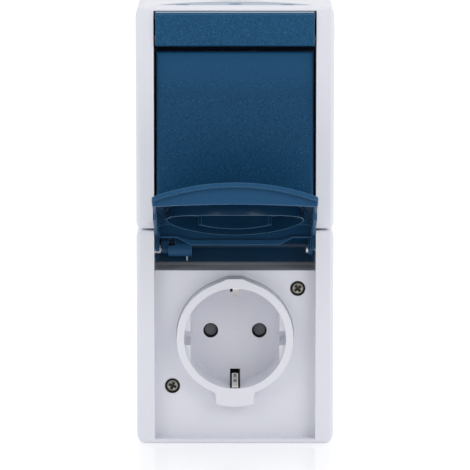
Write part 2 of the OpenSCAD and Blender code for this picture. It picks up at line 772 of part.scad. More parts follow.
module upper_cover() {
    color(white) difference() {
        union() {
            cover_shell(upper_z0, upper_z1, groove_r, corner_r, groove_edge, edge_r);
            front_slab(deck_under, front - face_t / 2)
                rect(-tray_x, upper_z0 + skirt_t / 2, tray_x, strip_pocket_z);
            front_slab(strip_floor - tray_t, front - face_t / 2)
                rect(-tray_x, strip_pocket_z - tray_t, tray_x, upper_z1 - skirt_t / 2);
        }
        front_slab(deck, front + past) rect(-open_x, upper_z0 + skirt_t, open_x, strip_pocket_z + past);
        front_slab(strip_floor, front + past) rect(-open_x, strip_pocket_z, open_x, upper_z1 - lip_h);
        front_slab(trough, front + past) rect(-open_x, upper_z0 - past, open_x, upper_z0 + skirt_t + past);
        tall_slab(upper_z1 - lip_h - past, upper_z1 + past) polygon(flange_outline(fit_gap));
        front_slab(deck_under - past, deck + past) translate([0, switch_mid])
            rect(-switch_x, -stem_r - past, switch_x, stem_r + past);
        front_slab(deck_under - past, deck + past) at_screws(switch_mid) circle(shank_r + fit_gap);
        front_slab(deck - seat_d, deck + past) at_screws(switch_mid) circle(seal_r);
        for (s = [0, 1]) mirror([s, 0, 0]) {
            side_slab(open_x - past, tray_x + past)
                translate([pivot_w, switch_mid]) circle(trunnion_r + run_gap);
            side_slab(open_x - past, tray_x + past) strip_clip(fit_gap);
        }
    }
}

// Rubber membrane that keeps water out of the switch, round the rocker's stem and the two screws.
module switch_seal() {
    color(dark) front_slab(deck, deck + membrane_t) difference() {
        rect(fit_gap - open_x, upper_z0 + skirt_t + fit_gap, open_x - fit_gap, strip_pocket_z - fit_gap);
        translate([0, switch_mid]) rect(-switch_x, -stem_r - past, switch_x, stem_r + past);
        at_screws(switch_mid) circle(seal_r + fit_gap);
    }
}

module strip_clip(grow) {
    translate([strip_back - cheek_d, (strip_z0 + strip_z1) / 2])
        rect(-grow, -clip_z - grow, clip_t + grow, clip_z + grow);
}

module label_strip() {
    color(blue) difference() {
        union() {
            side_slab(-strip_x, strip_x) polygon(concat(
                arc([strip_front - strip_foot, strip_z0 + strip_foot], strip_foot, -90, 0),
                [[strip_front, strip_z1 - strip_edge], [strip_front - strip_edge, strip_z1]],
                [[flange_w - flange_front, strip_z1], [flange_w - flange_front, strip_z1 - strip_wall],
                    [strip_back, strip_z1 - strip_wall], [strip_back, strip_z0]]));
            tall_slab(strip_z1 - strip_wall, upper_z1 - flange_sink) polygon(flange_outline(0));
            for (s = [-1, 1]) side_slab(s * leg_x - leg_t / 2, s * leg_x + leg_t / 2)
                rect(strip_floor, strip_z0 + strip_wall,
                    strip_back + strip_wall / 2, strip_z1 - strip_wall / 2);
            for (s = [0, 1]) mirror([s, 0, 0]) {
                side_slab(strip_x - cheek_t, strip_x) rect(strip_back - cheek_d, strip_z0 + strip_wall,
                    strip_back + strip_wall / 2, strip_z1 - strip_wall / 2);
                side_slab(strip_x - cheek_t, open_x + clip_in) strip_clip(0);
            }
        }
        tall_slab(upper_z1 - flange_sink - eyelet_d, upper_z1) for (i = [-1 : 1])
            translate([i * eyelet_x, flange_w - flange_d / 2 + abs(i) * flange_d / 4]) circle(eyelet_r);
    }
}

// A screw standing out from the wall, its head's underside at the given distance.
module screw(w, length, r, top_r, top_h) {
    difference() {
        union() {
            front_slab(w - length, w) circle(r);
            front_slab(w, w + top_h) circle(top_r);
        }
        front_slab(w + top_h - cross_d, w + top_h + past) {
            square([cross_l, cross_w], center = true);
            square([cross_w, cross_l], center = true);
        }
    }
}

module at_screws_3d(z, turn) {
    for (s = [-1, 1]) translate([s * screw_x, 0, z + turn * s * screw_z]) children();
}

module cover_screws() {
    color(steel) {
        at_screws_3d(socket_z - screw_drop, 1) screw(plate - seat_d, shank_l, shank_r, head_r, head_h);
        at_screws_3d(switch_mid - screw_drop, 1) screw(deck - seat_d, shank_l, shank_r, head_r, head_h);
    }
}

module screw_seals() {
    color(dark) {
        front_slab(plate - seat_d, plate - seat_d + seal_h) at_screws(socket_z) seal_outline();
        front_slab(deck - seat_d, deck - seat_d + seal_h) at_screws(switch_mid) seal_outline();
    }
}

module seal_outline() {
    difference() {
        circle(seal_r - press_gap);
        circle(head_r + press_gap);
    }
}

// Outline of the collar with its peak above and its tab below.
function collar_outline(grow) = let (
    r = collar_r + grow,
    q = [peak_x, peak_h + grow],
    a = atan2(q[1], q[0]) - acos(r / norm(q)),
    t = tab_x + grow,
    b = acos(t / r),
    e = asin((t - tab_taper) / (tab_r + grow)),
    half = concat([q], arc([0, 0], r, a, -b, 4 * steps), arc([0, -ring_drop], tab_r + grow, e - 90, -90)))
    concat(half, [for (p = reversed(half)) if (p[0] > press_gap) [-p[0], p[1]]]);

module socket_insert() {
    color(white) translate([0, 0, socket_z]) difference() {
        union() {
            front_slab(flange_back, rim) polygon(collar_outline(0));
            front_slab(flange_back, plate_back) intersection() {
                circle(flange_r, $fn = 96);
                rect(-flange_r, -flange_r, flange_r, ledge_up - tray_t - fit_gap);
            }
            front_slab(floor_back, flange_back + past) circle(well_r + well_t, $fn = 96);
            front_slab(shutter_pocket + shutter_gap / 2, floor_back + floor_t / 2) circle(stud_r);
        }
        front_slab(rim - guide_back, rim + past) circle(well_r, $fn = 96);
        front_slab(well_floor, rim) intersection() {
            circle(well_r, $fn = 96);
            union() {
                rect(-flat_x, -well_r, flat_x, well_r);
                rect(-well_r, -notch_z, well_r, notch_z);
            }
        }
        for (s = [-1, 1]) front_slab(floor_back - past, well_floor + past)
            translate([s * pin_x, 0]) circle(pin_hole_r);
        for (s = [0, 1]) mirror([0, 0, s])
            front_slab(floor_back - past, rim - slot_close) rect(-slot_x, slot_in, slot_x, slot_out);
    }
}

module socket_base() {
    color(grey) translate([0, 0, socket_z]) difference() {
        union() {
            front_slab(base_back, floor_back) intersection() {
                circle(base_r, $fn = 96);
                rect(-base_r, -base_r, base_r, ledge_up - tray_t - fit_gap);
            }
            front_slab(base_back, base_back + wing_d) rect(-wing_x, -wing_z, wing_x, wing_z);
            base_ears();
        }
        front_slab(shutter_pocket, floor_back + past) circle(blade_l + past, $fn = 96);
        for (s = [0, 1]) mirror([s, 0, 0]) {
            front_slab(contact_floor, shutter_pocket - chamber_wall)
                rect(pin_x - chamber, -chamber, pin_x + chamber, chamber);
            front_slab(contact_floor, floor_back + past) translate([pin_x, 0]) circle(pin_hole_r);
            front_slab(contact_floor, floor_back + past)
                rect(pin_x + grip_foot, -strip_z - fit_gap,
                    terminal_x + terminal / 2 + fit_gap, strip_z + fit_gap);
        }
        front_slab(bow_w, floor_back + past)
            rect(-bow_x - fit_gap, -base_r - past, bow_x + fit_gap, base_r + past);
        front_slab(bow_w, floor_back + past) rect(-tongue_l - fit_gap, -tongue_drop - tongue_z - fit_gap, 0,
            tongue_z + fit_gap - tongue_drop);
        front_slab(bow_w - terminal_shank - past, bow_w + past)
            translate([tongue_z - tongue_l, -tongue_drop]) circle(shank_r + press_gap);
        ear_holes();
    }
}

// Ears of an insulating block for its two screws, and their holes.
module base_ears() {
    front_slab(base_back, base_back + ear_t) {
        at_ears(0) circle(ear_r);
        rotate(-atan2(screw_z, screw_x)) square([2 * norm([screw_x, screw_z]), 2 * ear_r], center = true);
    }
}

module ear_holes() {
    front_slab(base_back - past, base_back + ear_t + past) at_ears(0) circle(shank_r + press_gap);
    front_slab(base_back + ear_t, base_back + ear_t + terminal_head_h + past) at_ears(0) circle(ear_r);
}

module earth_bow() {
    arm = [[bow_w + bow_t / 2, 0], [bow_w + bow_t / 2, bow_r], [rim - bow_tip, bow_r],
        [rim - bow_tip + bow_fold, bow_r - bow_fold], [rim - bow_tip, bow_r - 2 * bow_fold],
        [rim - bow_apex, bow_apex_r], [rim - bow_end, bow_r - 3 * bow_fold]];
    other = [for (i = [len(arm) - 1 : -1 : 1]) [arm[i][0], -arm[i][1]]];
    color(steel) translate([0, 0, socket_z]) difference() {
        union() {
            side_slab(-bow_x, bow_x) polygon(ribbon(concat(other, arm), bow_t));
            front_slab(bow_w, bow_w + bow_t)
                rect(-tongue_l, -tongue_drop - tongue_z, 0, tongue_z - tongue_drop);
        }
        front_slab(bow_w - past, bow_w + bow_t + past)
            translate([tongue_z - tongue_l, -tongue_drop]) circle(shank_r + press_gap);
    }
}

module pin_contact() {
    foot = contact_floor + strip_t / 2;
    half = [[grip_foot, foot], [grip_foot, foot + past], [grip_pinch, foot + grip_pinch_l],
        [grip_foot, foot + grip_l]];
    path = [for (p = concat([for (q = reversed(half)) [-q[0], q[1]]], half)) p + [pin_x, 0]];
    color(brass) translate([0, 0, socket_z]) difference() {
        union() {
            tall_slab(-strip_z, strip_z) polygon(ribbon(path, strip_t));
            front_slab(contact_floor, contact_floor + strip_t)
                rect(pin_x, -strip_z, terminal_x + terminal / 2, strip_z);
            front_slab(contact_floor, terminal_top)
                rect(terminal_x - terminal / 2, -strip_z, terminal_x + terminal / 2, strip_z);
        }
        front_slab(terminal_top - terminal_shank - past / 2, terminal_top + past)
            translate([terminal_x, 0]) circle(shank_r + press_gap);
    }
}

module line_contact() {
    pin_contact();
}

module neutral_contact() {
    mirror([1, 0, 0]) pin_contact();
}

module terminal_screw(w) {
    screw(w, terminal_shank, shank_r, terminal_head_r, terminal_head_h);
}

module terminal_screws() {
    color(steel) {
        for (s = [-1, 1]) translate([s * terminal_x, 0, socket_z]) terminal_screw(terminal_top);
        translate([switch_terminal_x, 0, switch_mid]) terminal_screw(switch_top);
        translate([-switch_terminal_x, 0, switch_mid + load_z]) terminal_screw(switch_top);
    }
}

module earth_screw() {
    color(steel) translate([tongue_z - tongue_l, 0, socket_z - tongue_drop])
        screw(bow_w + bow_t, terminal_shank, shank_r, head_r, head_h);
}

module base_screws() {
    color(steel) for (z = [socket_z, switch_mid])
        at_screws_3d(z, -1)
            screw(base_back + ear_t, ear_t + base_floor * 2, shank_r, terminal_head_r, terminal_head_h);
}

module switch_base() {
    color(grey) translate([0, 0, switch_mid]) difference() {
        union() {
            front_slab(base_back, switch_front) rect(-switch_half, -switch_half, switch_half, switch_half);
            base_ears();
        }
        front_slab(switch_deep, switch_front + past) rect(-switch_x, -switch_z, switch_x, switch_z);
        front_slab(switch_deep, switch_front + past)
            rect(0, -strip_z - fit_gap, switch_terminal_x + terminal / 2 + fit_gap, strip_z + fit_gap);
        front_slab(switch_deep, switch_front + past) rect(-switch_terminal_x - terminal / 2 - fit_gap,
            load_z - strip_z - fit_gap, 0, load_z + strip_z + fit_gap);
        ear_holes();
    }
}

// Foot, terminal block and screw hole of a switch contact towards +X.
module switch_foot() {
    difference() {
        union() {
            front_slab(switch_deep, switch_deep + strip_t)
                rect(-bridge_x, -strip_z, switch_terminal_x + terminal / 2, strip_z);
            front_slab(switch_deep, switch_top) rect(switch_terminal_x - terminal / 2, -strip_z,
                switch_terminal_x + terminal / 2, strip_z);
        }
        front_slab(switch_top - terminal_shank - past / 2, switch_top + past)
            translate([switch_terminal_x, 0]) circle(shank_r + press_gap);
    }
}

module common_contact() {
    color(brass) translate([0, 0, switch_mid]) {
        switch_foot();
        side_slab(-bridge_x, bridge_x) {
            rect(switch_deep, -ridge_r / 2, ridge_w - ridge_r / 2, ridge_r / 2);
            translate([ridge_w, 0]) circle(ridge_r);
        }
    }
}

module load_contact() {
    color(brass) translate([0, 0, switch_mid]) {
        translate([0, 0, load_z]) mirror([1, 0, 0]) switch_foot();
        front_slab(switch_deep, load_top)
            rect(-button_r, button_z - button_r, button_r, button_z + button_r);
    }
}

module contact_bridge() {
    color(brass) translate([0, -ridge_w, switch_mid]) rotate([bridge_tilt, 0, 0]) difference() {
        union() {
            side_slab(-bridge_x, bridge_x) {
                rect(bridge_arm, -bridge_l, bridge_arm + bridge_t, bridge_l);
                rect(ridge_r / 4, -bridge_hub, bridge_h, bridge_hub);
            }
            for (s = [-1, 1]) front_slab(bridge_arm - button_h, bridge_arm + bridge_t / 2)
                translate([0, s * button_z]) circle(button_r);
        }
        side_slab(-bridge_x - past, bridge_x + past) circle(ridge_r + run_gap);
    }
}

// The rocker's own frame: its pivot at the origin, tilted as drawn.
module at_pivot() {
    translate([0, -pivot_w, switch_mid]) rotate([-rocker_tilt, 0, 0]) children();
}

module rocker() {
    color(blue) at_pivot() difference() {
        union() {
            difference() {
                intersection() {
                    tall_slab(-rocker_z, rocker_z) polygon(concat(
                        [[-rocker_x, -rocker_skirt], [rocker_x, -rocker_skirt]],
                        arc([rocker_x - rocker_edge, pivot_d - rocker_edge], rocker_edge, 0, 90),
                        arc([rocker_edge - rocker_x, pivot_d - rocker_edge], rocker_edge, 90, 180)));
                    side_slab(-rocker_x - past, rocker_x + past) polygon(concat(
                        [[-rocker_skirt - past, rocker_z], [-rocker_skirt - past, -rocker_z]],
                        arc([pivot_d - rocker_edge, rocker_edge - rocker_z], rocker_edge, -90, 0),
                        arc([pivot_d - rocker_edge, rocker_z - rocker_edge], rocker_edge, 0, 90)));
                }
                front_slab(-rocker_skirt - past, pivot_d - rocker_face)
                    rect(rocker_t - rocker_x, rocker_t - rocker_z,
                        rocker_x - rocker_t, rocker_z - rocker_t);
            }
            front_slab(0, pivot_d - rocker_face / 2) {
                rect(rocker_t / 2 - rocker_x, -rocker_t / 2, rocker_x - rocker_t / 2, rocker_t / 2);
                rect(-rocker_t / 2, rocker_t / 2 - rocker_z, rocker_t / 2, rocker_z - rocker_t / 2);
            }
            front_slab(-stem_l, pivot_d - rocker_face / 2) circle(stem_r);
            for (s = [0, 1]) mirror([s, 0, 0])
                side_slab(rocker_x - past, tray_x - lid_gap) circle(trunnion_r);
        }
        front_slab(-stem_l - past, spring_top) circle(plunger_r + run_gap);
    }
}

module plunger() {
    color(grey) at_pivot() {
        front_slab(plunger_r - plunger_tip, -plunger_top) circle(plunger_r);
        translate([0, plunger_tip - plunger_r, 0]) sphere(plunger_r);
    }
}

module plunger_spring() {
    turn = 12;
    gap = plunger_wire + press_gap;
    low = -plunger_top + gap;
    high = spring_top - gap;
    mean = plunger_r - 2 * plunger_wire;
    color(steel) at_pivot() wire([for (i = [0 : turn * plunger_turns])
        let (a = 360 * i / turn, w = low + (high - low) * i / (turn * plunger_turns))
        [mean * cos(a), -w, mean * sin(a)]], [0, 1, 0], plunger_wire);
}

module hinge_pin_left() {
    color(steel) side_slab(-tray_x, -barrel_x) translate([hinge_w, hinge_z]) circle(pin_r);
}

module hinge_pin_right() {
    color(steel) {
        side_slab(right_x - pin_head_h, tray_x) translate([hinge_w, hinge_z]) circle(pin_r);
        side_slab(right_x - pin_head_h, right_x - press_gap)
            translate([hinge_w, hinge_z]) circle(pin_head_r);
    }
}

// The lid's own frame: its hinge at the origin, turned as drawn.
module at_hinge() {
    translate([0, -hinge_w, hinge_z]) rotate([-lid_open, 0, 0]) children();
}

// Torsion spring: a leg on the lid's rear wall, the coil, and a last turn that closes on the pin.
module lid_spring() {
    turn = 16;
    n = turn * coil_turns;
    shrink = coil_r - pin_r - coil_wire - run_gap;
    coil = [for (i = [0 : n])
        let (a = leg_turn - 360 * i / turn, r = coil_r - shrink * max(0, 1 + (i - n) / turn))
        [coil_x0 + (coil_x1 - coil_x0) * i / n, r * cos(a), r * sin(a)]];
    color(steel) at_hinge() wire([for (p = concat([[coil_x0, leg_end[0], leg_end[1]]], coil))
        [-p[0], -p[1], p[2]]], [1, 0, 0], coil_wire);
}

module shutter_spring() {
    turn = 16;
    turns = 2;
    mean = (stud_r + hub_r) / 2;
    pitch = (hub_d - 2 * shutter_wire - 2 * run_gap) / turns;
    low = shutter_back + shutter_wire + run_gap;
    color(steel) wire([for (i = [0 : turn * turns]) let (a = 360 * i / turn)
        [mean * cos(a), -low - pitch * i / turn, socket_z + mean * sin(a)]], [0, 1, 0], shutter_wire);
}

module shutter() {
    color(dark) translate([0, 0, socket_z]) difference() {
        front_slab(shutter_back, shutter_front) {
            rect(-blade_l, -blade_z, blade_l, blade_z);
            circle(hub_r + past);
        }
        front_slab(shutter_back - past, shutter_front + past) circle(stud_r + run_gap);
        front_slab(shutter_back - past, shutter_back + hub_d) circle(hub_r);
    }
}

module entry_grommet() {
    low = upper_z1 - box_t;
    bore = entry_r - entry_neck;
    neck = entry_r - fit_gap;
    skin = upper_z1 - box_t / 2;
    color(dark) translate([0, -entry_w, 0]) rotate_extrude() polygon([[0, skin - entry_skin],
        [bore, skin - entry_skin], [bore, low - entry_flange_t],
        [entry_r + entry_flange, low - entry_flange_t], [entry_r + entry_flange, low - run_gap],
        [neck, low - run_gap], [neck, upper_z1 + run_gap],
        [entry_r + entry_flange, upper_z1 + run_gap], [entry_r + entry_flange, upper_z1 + entry_flange_t],
        [bore, upper_z1 + entry_flange_t], [bore, skin], [0, skin]]);
}

// Outer line of the lid from its rear wall over the shoulder to the free end, moved in by a wall.
// First value from the hinge towards the free end, second value outwards.
function lid_path(inset) = let (
    c1 = [rear_r - rear_u, rear_top],
    s = c1 + rear_r * [-sin(shoulder_a), cos(shoulder_a)] + shoulder_l * [cos(shoulder_a), sin(shoulder_a)],
    c2 = s + shoulder_r * [sin(shoulder_a), -cos(shoulder_a)],
    bend = arc(c2, shoulder_r - inset, 90 + shoulder_a, 90 + roof_a))
    concat(arc(c1, rear_r - inset, 180, 90 + shoulder_a), bend,
        [bend[steps] + (lid_l - rear_u) * [cos(roof_a), sin(roof_a)]]);

// Everything inside the lid's outer line, moved in by a skin, a side wall and an end.
module lid_envelope(skin, side, end) {
    path = lid_path(skin);
    intersection() {
        side_slab(side - lid_x, lid_x - side) polygon(concat(
            [for (p = path) [p[1], -min(p[0], end)]], [[path[len(path) - 1][1], -end], [-lid_low, -end],
                [-lid_low, rear_u - skin]]));
        tall_slab(-end - past, rear_u + past) intersection() {
            translate([0, crown_h - crown_r]) circle(crown_r - skin, $fn = 240);
            rect(-lid_x - past, -lid_low - past, lid_x + past, crown_h + past);
        }
    }
}

// Rims of the lid's walls, seen from the side.
module lid_rims() {
    polygon([[lid_low, rear_u + past], [-rear_rim, rear_u + past], [-rear_rim, rear_u - lid_skin],
        [-ear_rim, rear_u - lid_skin], [-ear_rim, -ear_u], [ring_rim, -ear_u], [ring_rim, -step_u],
        [end_rim, -step_u - lid_wall], [end_rim, -lid_l - past], [lid_low, -lid_l - past]]);
}

module lid_walls() {
    difference() {
        intersection() {
            lid_envelope(0, 0, lid_l);
            side_slab(-lid_x - past, lid_x + past) lid_rims();
            front_slab(-lid_low, lid_low)
                polygon(rounded(-lid_x, -lid_l, lid_x, rear_u + past, lip_over, press_gap));
        }
        lid_envelope(lid_skin, lid_wall, end_u - lid_wall);
        intersection() {
            lid_envelope(lid_skin, -past, lid_l + past);
            front_slab(-lid_low, lid_low) {
                rect(-lid_x - past, -lid_l - past, lid_x + past, -end_u);
                for (s = [0, 1]) mirror([s, 0])
                    rect(lid_x - skin_over, -lid_l - past, lid_x + past, -step_u - lid_wall);
            }
        }
        tall_slab(-end_u - past, lid_wall - end_u + past) polygon(concat(
            [[lid_x, 0], [-lid_x, 0]],
            arc([0, end_rim + end_arch - lid_arch_r], lid_arch_r, 90 + lid_arch_a, 90 - lid_arch_a)));
    }
}

// A rib inside the lid whose rim rises towards the sides.
module arched(edge) {
    intersection() {
        front_slab(edge, lid_low) children();
        tall_slab(-lid_l, 0) translate([0, edge + ring_arch_r]) circle(ring_arch_r, $fn = 240);
    }
}

module lid_ribs() {
    line = [[-lid_x, cross_hi], [-cross_x1, cross_hi], [-cross_x0, cross_lo], [cross_x0, cross_lo],
        [cross_x1, cross_hi], [lid_x, cross_hi]];
    intersection() {
        lid_envelope(lid_skin / 2, lid_wall / 2, end_u);
        union() {
            arched(ring_rim) translate([0, -ring_u]) difference() {
                circle(ring_r + ring_t, $fn = 120);
                circle(ring_r, $fn = 120);
            }
            arched(rib_rim) translate([0, -hinge_up]) polygon(concat(
                arc([0, 0], rib_r, 90 - rib_a, 90 + rib_a, 3 * steps),
                arc([0, 0], rib_r - rib_t, 90 + rib_a, 90 - rib_a, 3 * steps)));
            tall_slab(-cross_u - cross_t, -cross_u)
                polygon(concat(line, [[lid_x, lid_low], [-lid_x, lid_low]]));
            tall_slab(-cross_u - cross_t - bead_out, -cross_u - cross_t / 2)
                polygon(concat(line, [for (p = reversed(line))
                    p + [0, p[1] > cross_lo ? bead_end : bead_h]]));
            side_slab(-knuckle_x1, -knuckle_x0) knuckle(knuckle_r);
            side_slab(-knuckle_x0, -barrel_x) knuckle(barrel_r);
            side_slab(right_x, lid_x) knuckle(right_r);
        }
    }
}

module knuckle(r) {
    circle(r);
    rect(0, -r, lid_low, r);
}

module lid() {
    color(blue) at_hinge() difference() {
        union() {
            lid_walls();
            lid_ribs();
        }
        for (s = [0, 1]) mirror([s, 0, 0]) side_slab(barrel_x - past, lid_x + past) circle(pin_r + run_gap);
        side_slab(-lid_x - past, -knuckle_x1) circle(boss_r + run_gap);
        side_slab(-knuckle_x0, -barrel_x - barrel_end) circle(coil_room_r);
        side_slab(-knuckle_x0, -window_x) rect(window_up, -barrel_r - past, barrel_r + past, 0);
        side_slab(-coil_x0 - coil_wire - fit_gap, coil_wire + fit_gap - coil_x0)
            polygon(ribbon([coil_r * [cos(leg_turn), sin(leg_turn)], leg_end], 2 * (coil_wire + run_gap)));
    }
}

back_box();
box_gasket();
lower_cover();
upper_cover();
switch_seal();
label_strip();
cover_screws();
screw_seals();
socket_insert();
socket_base();
earth_bow();
line_contact();
neutral_contact();
terminal_screws();
earth_screw();
base_screws();
switch_base();
common_contact();
load_contact();
hinge_pin_left();
hinge_pin_right();
lid_spring();
shutter_spring();
entry_grommet();
lid();
rocker();
plunger();
plunger_spring();
contact_bridge();
shutter();
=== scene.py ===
"""Dressed switched socket: a finish for every solid, finer screws, clips and spring, and a stage.

Settings are in metres, and MM turns millimetres into metres. X is right, Z is up, the wall is the plane Y = 0
and the front faces -Y.
"""

import math

import bpy
import numpy as np
from bpy.props import FloatProperty, FloatVectorProperty, IntProperty, PointerProperty
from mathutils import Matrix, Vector


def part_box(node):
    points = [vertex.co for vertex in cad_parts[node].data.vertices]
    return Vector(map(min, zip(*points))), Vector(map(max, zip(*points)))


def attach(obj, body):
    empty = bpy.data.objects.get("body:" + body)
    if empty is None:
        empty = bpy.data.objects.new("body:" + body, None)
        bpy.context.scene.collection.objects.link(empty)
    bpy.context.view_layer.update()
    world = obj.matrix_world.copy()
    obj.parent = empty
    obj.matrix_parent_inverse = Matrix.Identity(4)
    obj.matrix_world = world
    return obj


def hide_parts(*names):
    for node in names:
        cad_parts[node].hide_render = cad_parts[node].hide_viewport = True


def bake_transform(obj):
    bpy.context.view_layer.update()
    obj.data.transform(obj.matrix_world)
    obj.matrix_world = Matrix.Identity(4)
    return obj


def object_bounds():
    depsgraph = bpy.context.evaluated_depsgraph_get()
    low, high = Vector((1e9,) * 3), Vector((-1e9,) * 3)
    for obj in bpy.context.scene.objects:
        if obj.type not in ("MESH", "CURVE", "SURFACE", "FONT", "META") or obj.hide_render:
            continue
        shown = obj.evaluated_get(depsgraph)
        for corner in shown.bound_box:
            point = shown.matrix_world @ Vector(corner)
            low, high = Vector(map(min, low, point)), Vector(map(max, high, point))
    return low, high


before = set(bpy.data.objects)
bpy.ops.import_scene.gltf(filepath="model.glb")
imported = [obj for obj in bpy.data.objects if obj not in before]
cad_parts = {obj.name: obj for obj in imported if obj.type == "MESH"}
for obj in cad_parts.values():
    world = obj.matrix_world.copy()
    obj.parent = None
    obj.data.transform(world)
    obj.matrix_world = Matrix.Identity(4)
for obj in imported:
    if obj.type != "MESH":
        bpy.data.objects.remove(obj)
CAD_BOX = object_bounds()

bl_info = {
    "name": "Switched Socket",
    "version": (1, 0, 0),
    "blender": (4, 5, 0),
    "location": "3D View > Sidebar > Socket",
    "description": "Finishes, fine pieces and stage of a switched socket",
    "category": "Object",
}

MM = 0.001
PICTURE_SIDE = 470
SENSOR = 36.0
# Edges sharper than this stay sharp on a new piece.
SHARP = math.radians(35)
# Sockets of a Mix node: its two numbers and two colours, and the colour that comes out.
NUMBER_A, NUMBER_B, COLOUR_A, COLOUR_B, COLOUR_OUT = 2, 3, 6, 7, 2


def linear(code):
    """Linear colour of an sRGB hex code."""
    srgb = np.array([int(code[i:i + 2], 16) for i in (0, 2, 4)]) / 255
    low = srgb / 12.92
    high = ((srgb + 0.055) / 1.055) ** 2.4
    return tuple(float(v) for v in np.where(srgb <= 0.04045, low, high))


def colour(label, text, code):
    """A colour setting whose default is an sRGB hex code."""
    return FloatVectorProperty(name=label, description=text, subtype="COLOR", size=3, min=0, max=1,
                               default=linear(code))


def length(label, text, mm):
    """A length setting whose default is in millimetres."""
    return FloatProperty(name=label, description=text, subtype="DISTANCE", unit="LENGTH", default=mm * MM,
                         precision=5)


def turn(label, text, degrees):
    """An angle setting whose default is in degrees."""
    return FloatProperty(name=label, description=text, subtype="ANGLE", default=math.radians(degrees))


def share(label, text, value):
    """A setting from 0 to 1."""
    return FloatProperty(name=label, description=text, subtype="FACTOR", min=0, max=1, default=value)


def power(label, text, watts):
    """A lamp's power in watts."""
    return FloatProperty(name=label, description=text, unit="POWER", min=0, default=watts)


def level(label, text, value):
    """A strength of light, where 1 is white."""
    return FloatProperty(name=label, description=text, min=0, default=value)


class SocketFinishes(bpy.types.PropertyGroup):
    """Colours, gloss and grain of the mouldings, rubber and metals."""

    white: colour("White", "Colour of the white housing", "E1E2EA")
    white_rough: share("White roughness", "Roughness of the white housing", 0.42)
    # White edges: a painted highlight along the housing's edges.
    white_edge_light: colour("White edges", "Colour of the rubbed edges of the white housing", "F1F1F5")
    blue: colour("Blue", "Colour of the lid", "16496F")
    rocker: colour("Rocker", "Colour of the rocker", "174669")
    # Painted light: the rocker's top band is coloured lighter, as if more lit.
    painted_light: colour("Rubbed", "Colour of the rubbed upper edge of the rocker", "1E547C")
    light_band: length("Rubbed band", "Height of the rubbed band along the rocker's top", 16)
    strip: colour("Strip", "Colour of the fixed strip", "194C70")
    blue_rough: share("Blue roughness", "Roughness of the blue mouldings", 0.46)
    # Blue edges: a painted highlight along the blue mouldings' edges.
    blue_edge_light: colour("Blue edges", "Colour of the rubbed edges of the blue mouldings", "5C8DB0")
    # Painted shade: the polished inside of the lid is coloured darker than its outside.
    painted_shade: colour("Deep blue", "Colour of the polished inside of the lid", "133652")
    deep_rough: share("Deep roughness", "Roughness of the polished inside of the lid", 0.2)
    # Painted highlight: the pale colour of the strip's upper edge and flange.
    strip_highlight: colour("Pale edge", "Colour of the frosted upper edge of the strip", "A6B3C2")
    grey: colour("Grey", "Colour of the insulating blocks", "2E3034")
    dark: colour("Dark", "Colour of the shutter behind the pin holes", "686B71")
    # Painted shade: the colour of the dark funnels in the pin holes.
    pin_shade: colour("Lining", "Colour of the lining of the pin holes", "0E0F12")
    rubber: colour("Rubber", "Colour of the seals, gasket and grommet", "121315")
    membrane: colour("Membrane", "Colour of the seal under the rocker", "2C4052")
    plated: colour("Plated steel", "Colour of the zinc plated screws", "A6A498")
    nickel: colour("Nickel", "Colour of the nickel plated earth strip", "F0EDE6")
    drawn: colour("Drawn wire", "Colour of the springs and hinge pins", "F2F3F5")
    brass: colour("Brass", "Colour of the stamped contacts", "C9A24E")
    # Painted shade on metal in recesses and under the floor.
    metal_shade: colour("Recess", "Colour of dulled metal in recesses and under the floor", "0C0C0B")
    # Painted highlight: the strip is coloured pale above this height.
    highlight_from: length("Frosted", "Height from which the strip is frosted", 82.65)
    grain: length("Grain", "Spacing of the eroded grain on the blue mouldings", 0.45)
    crown: length("Crown", "Rise of the rocker's barrelled face as the light shows it", 5.5)
    edge: length("Edge", "Rounding of moulded edges as the light shows it", 0.3)


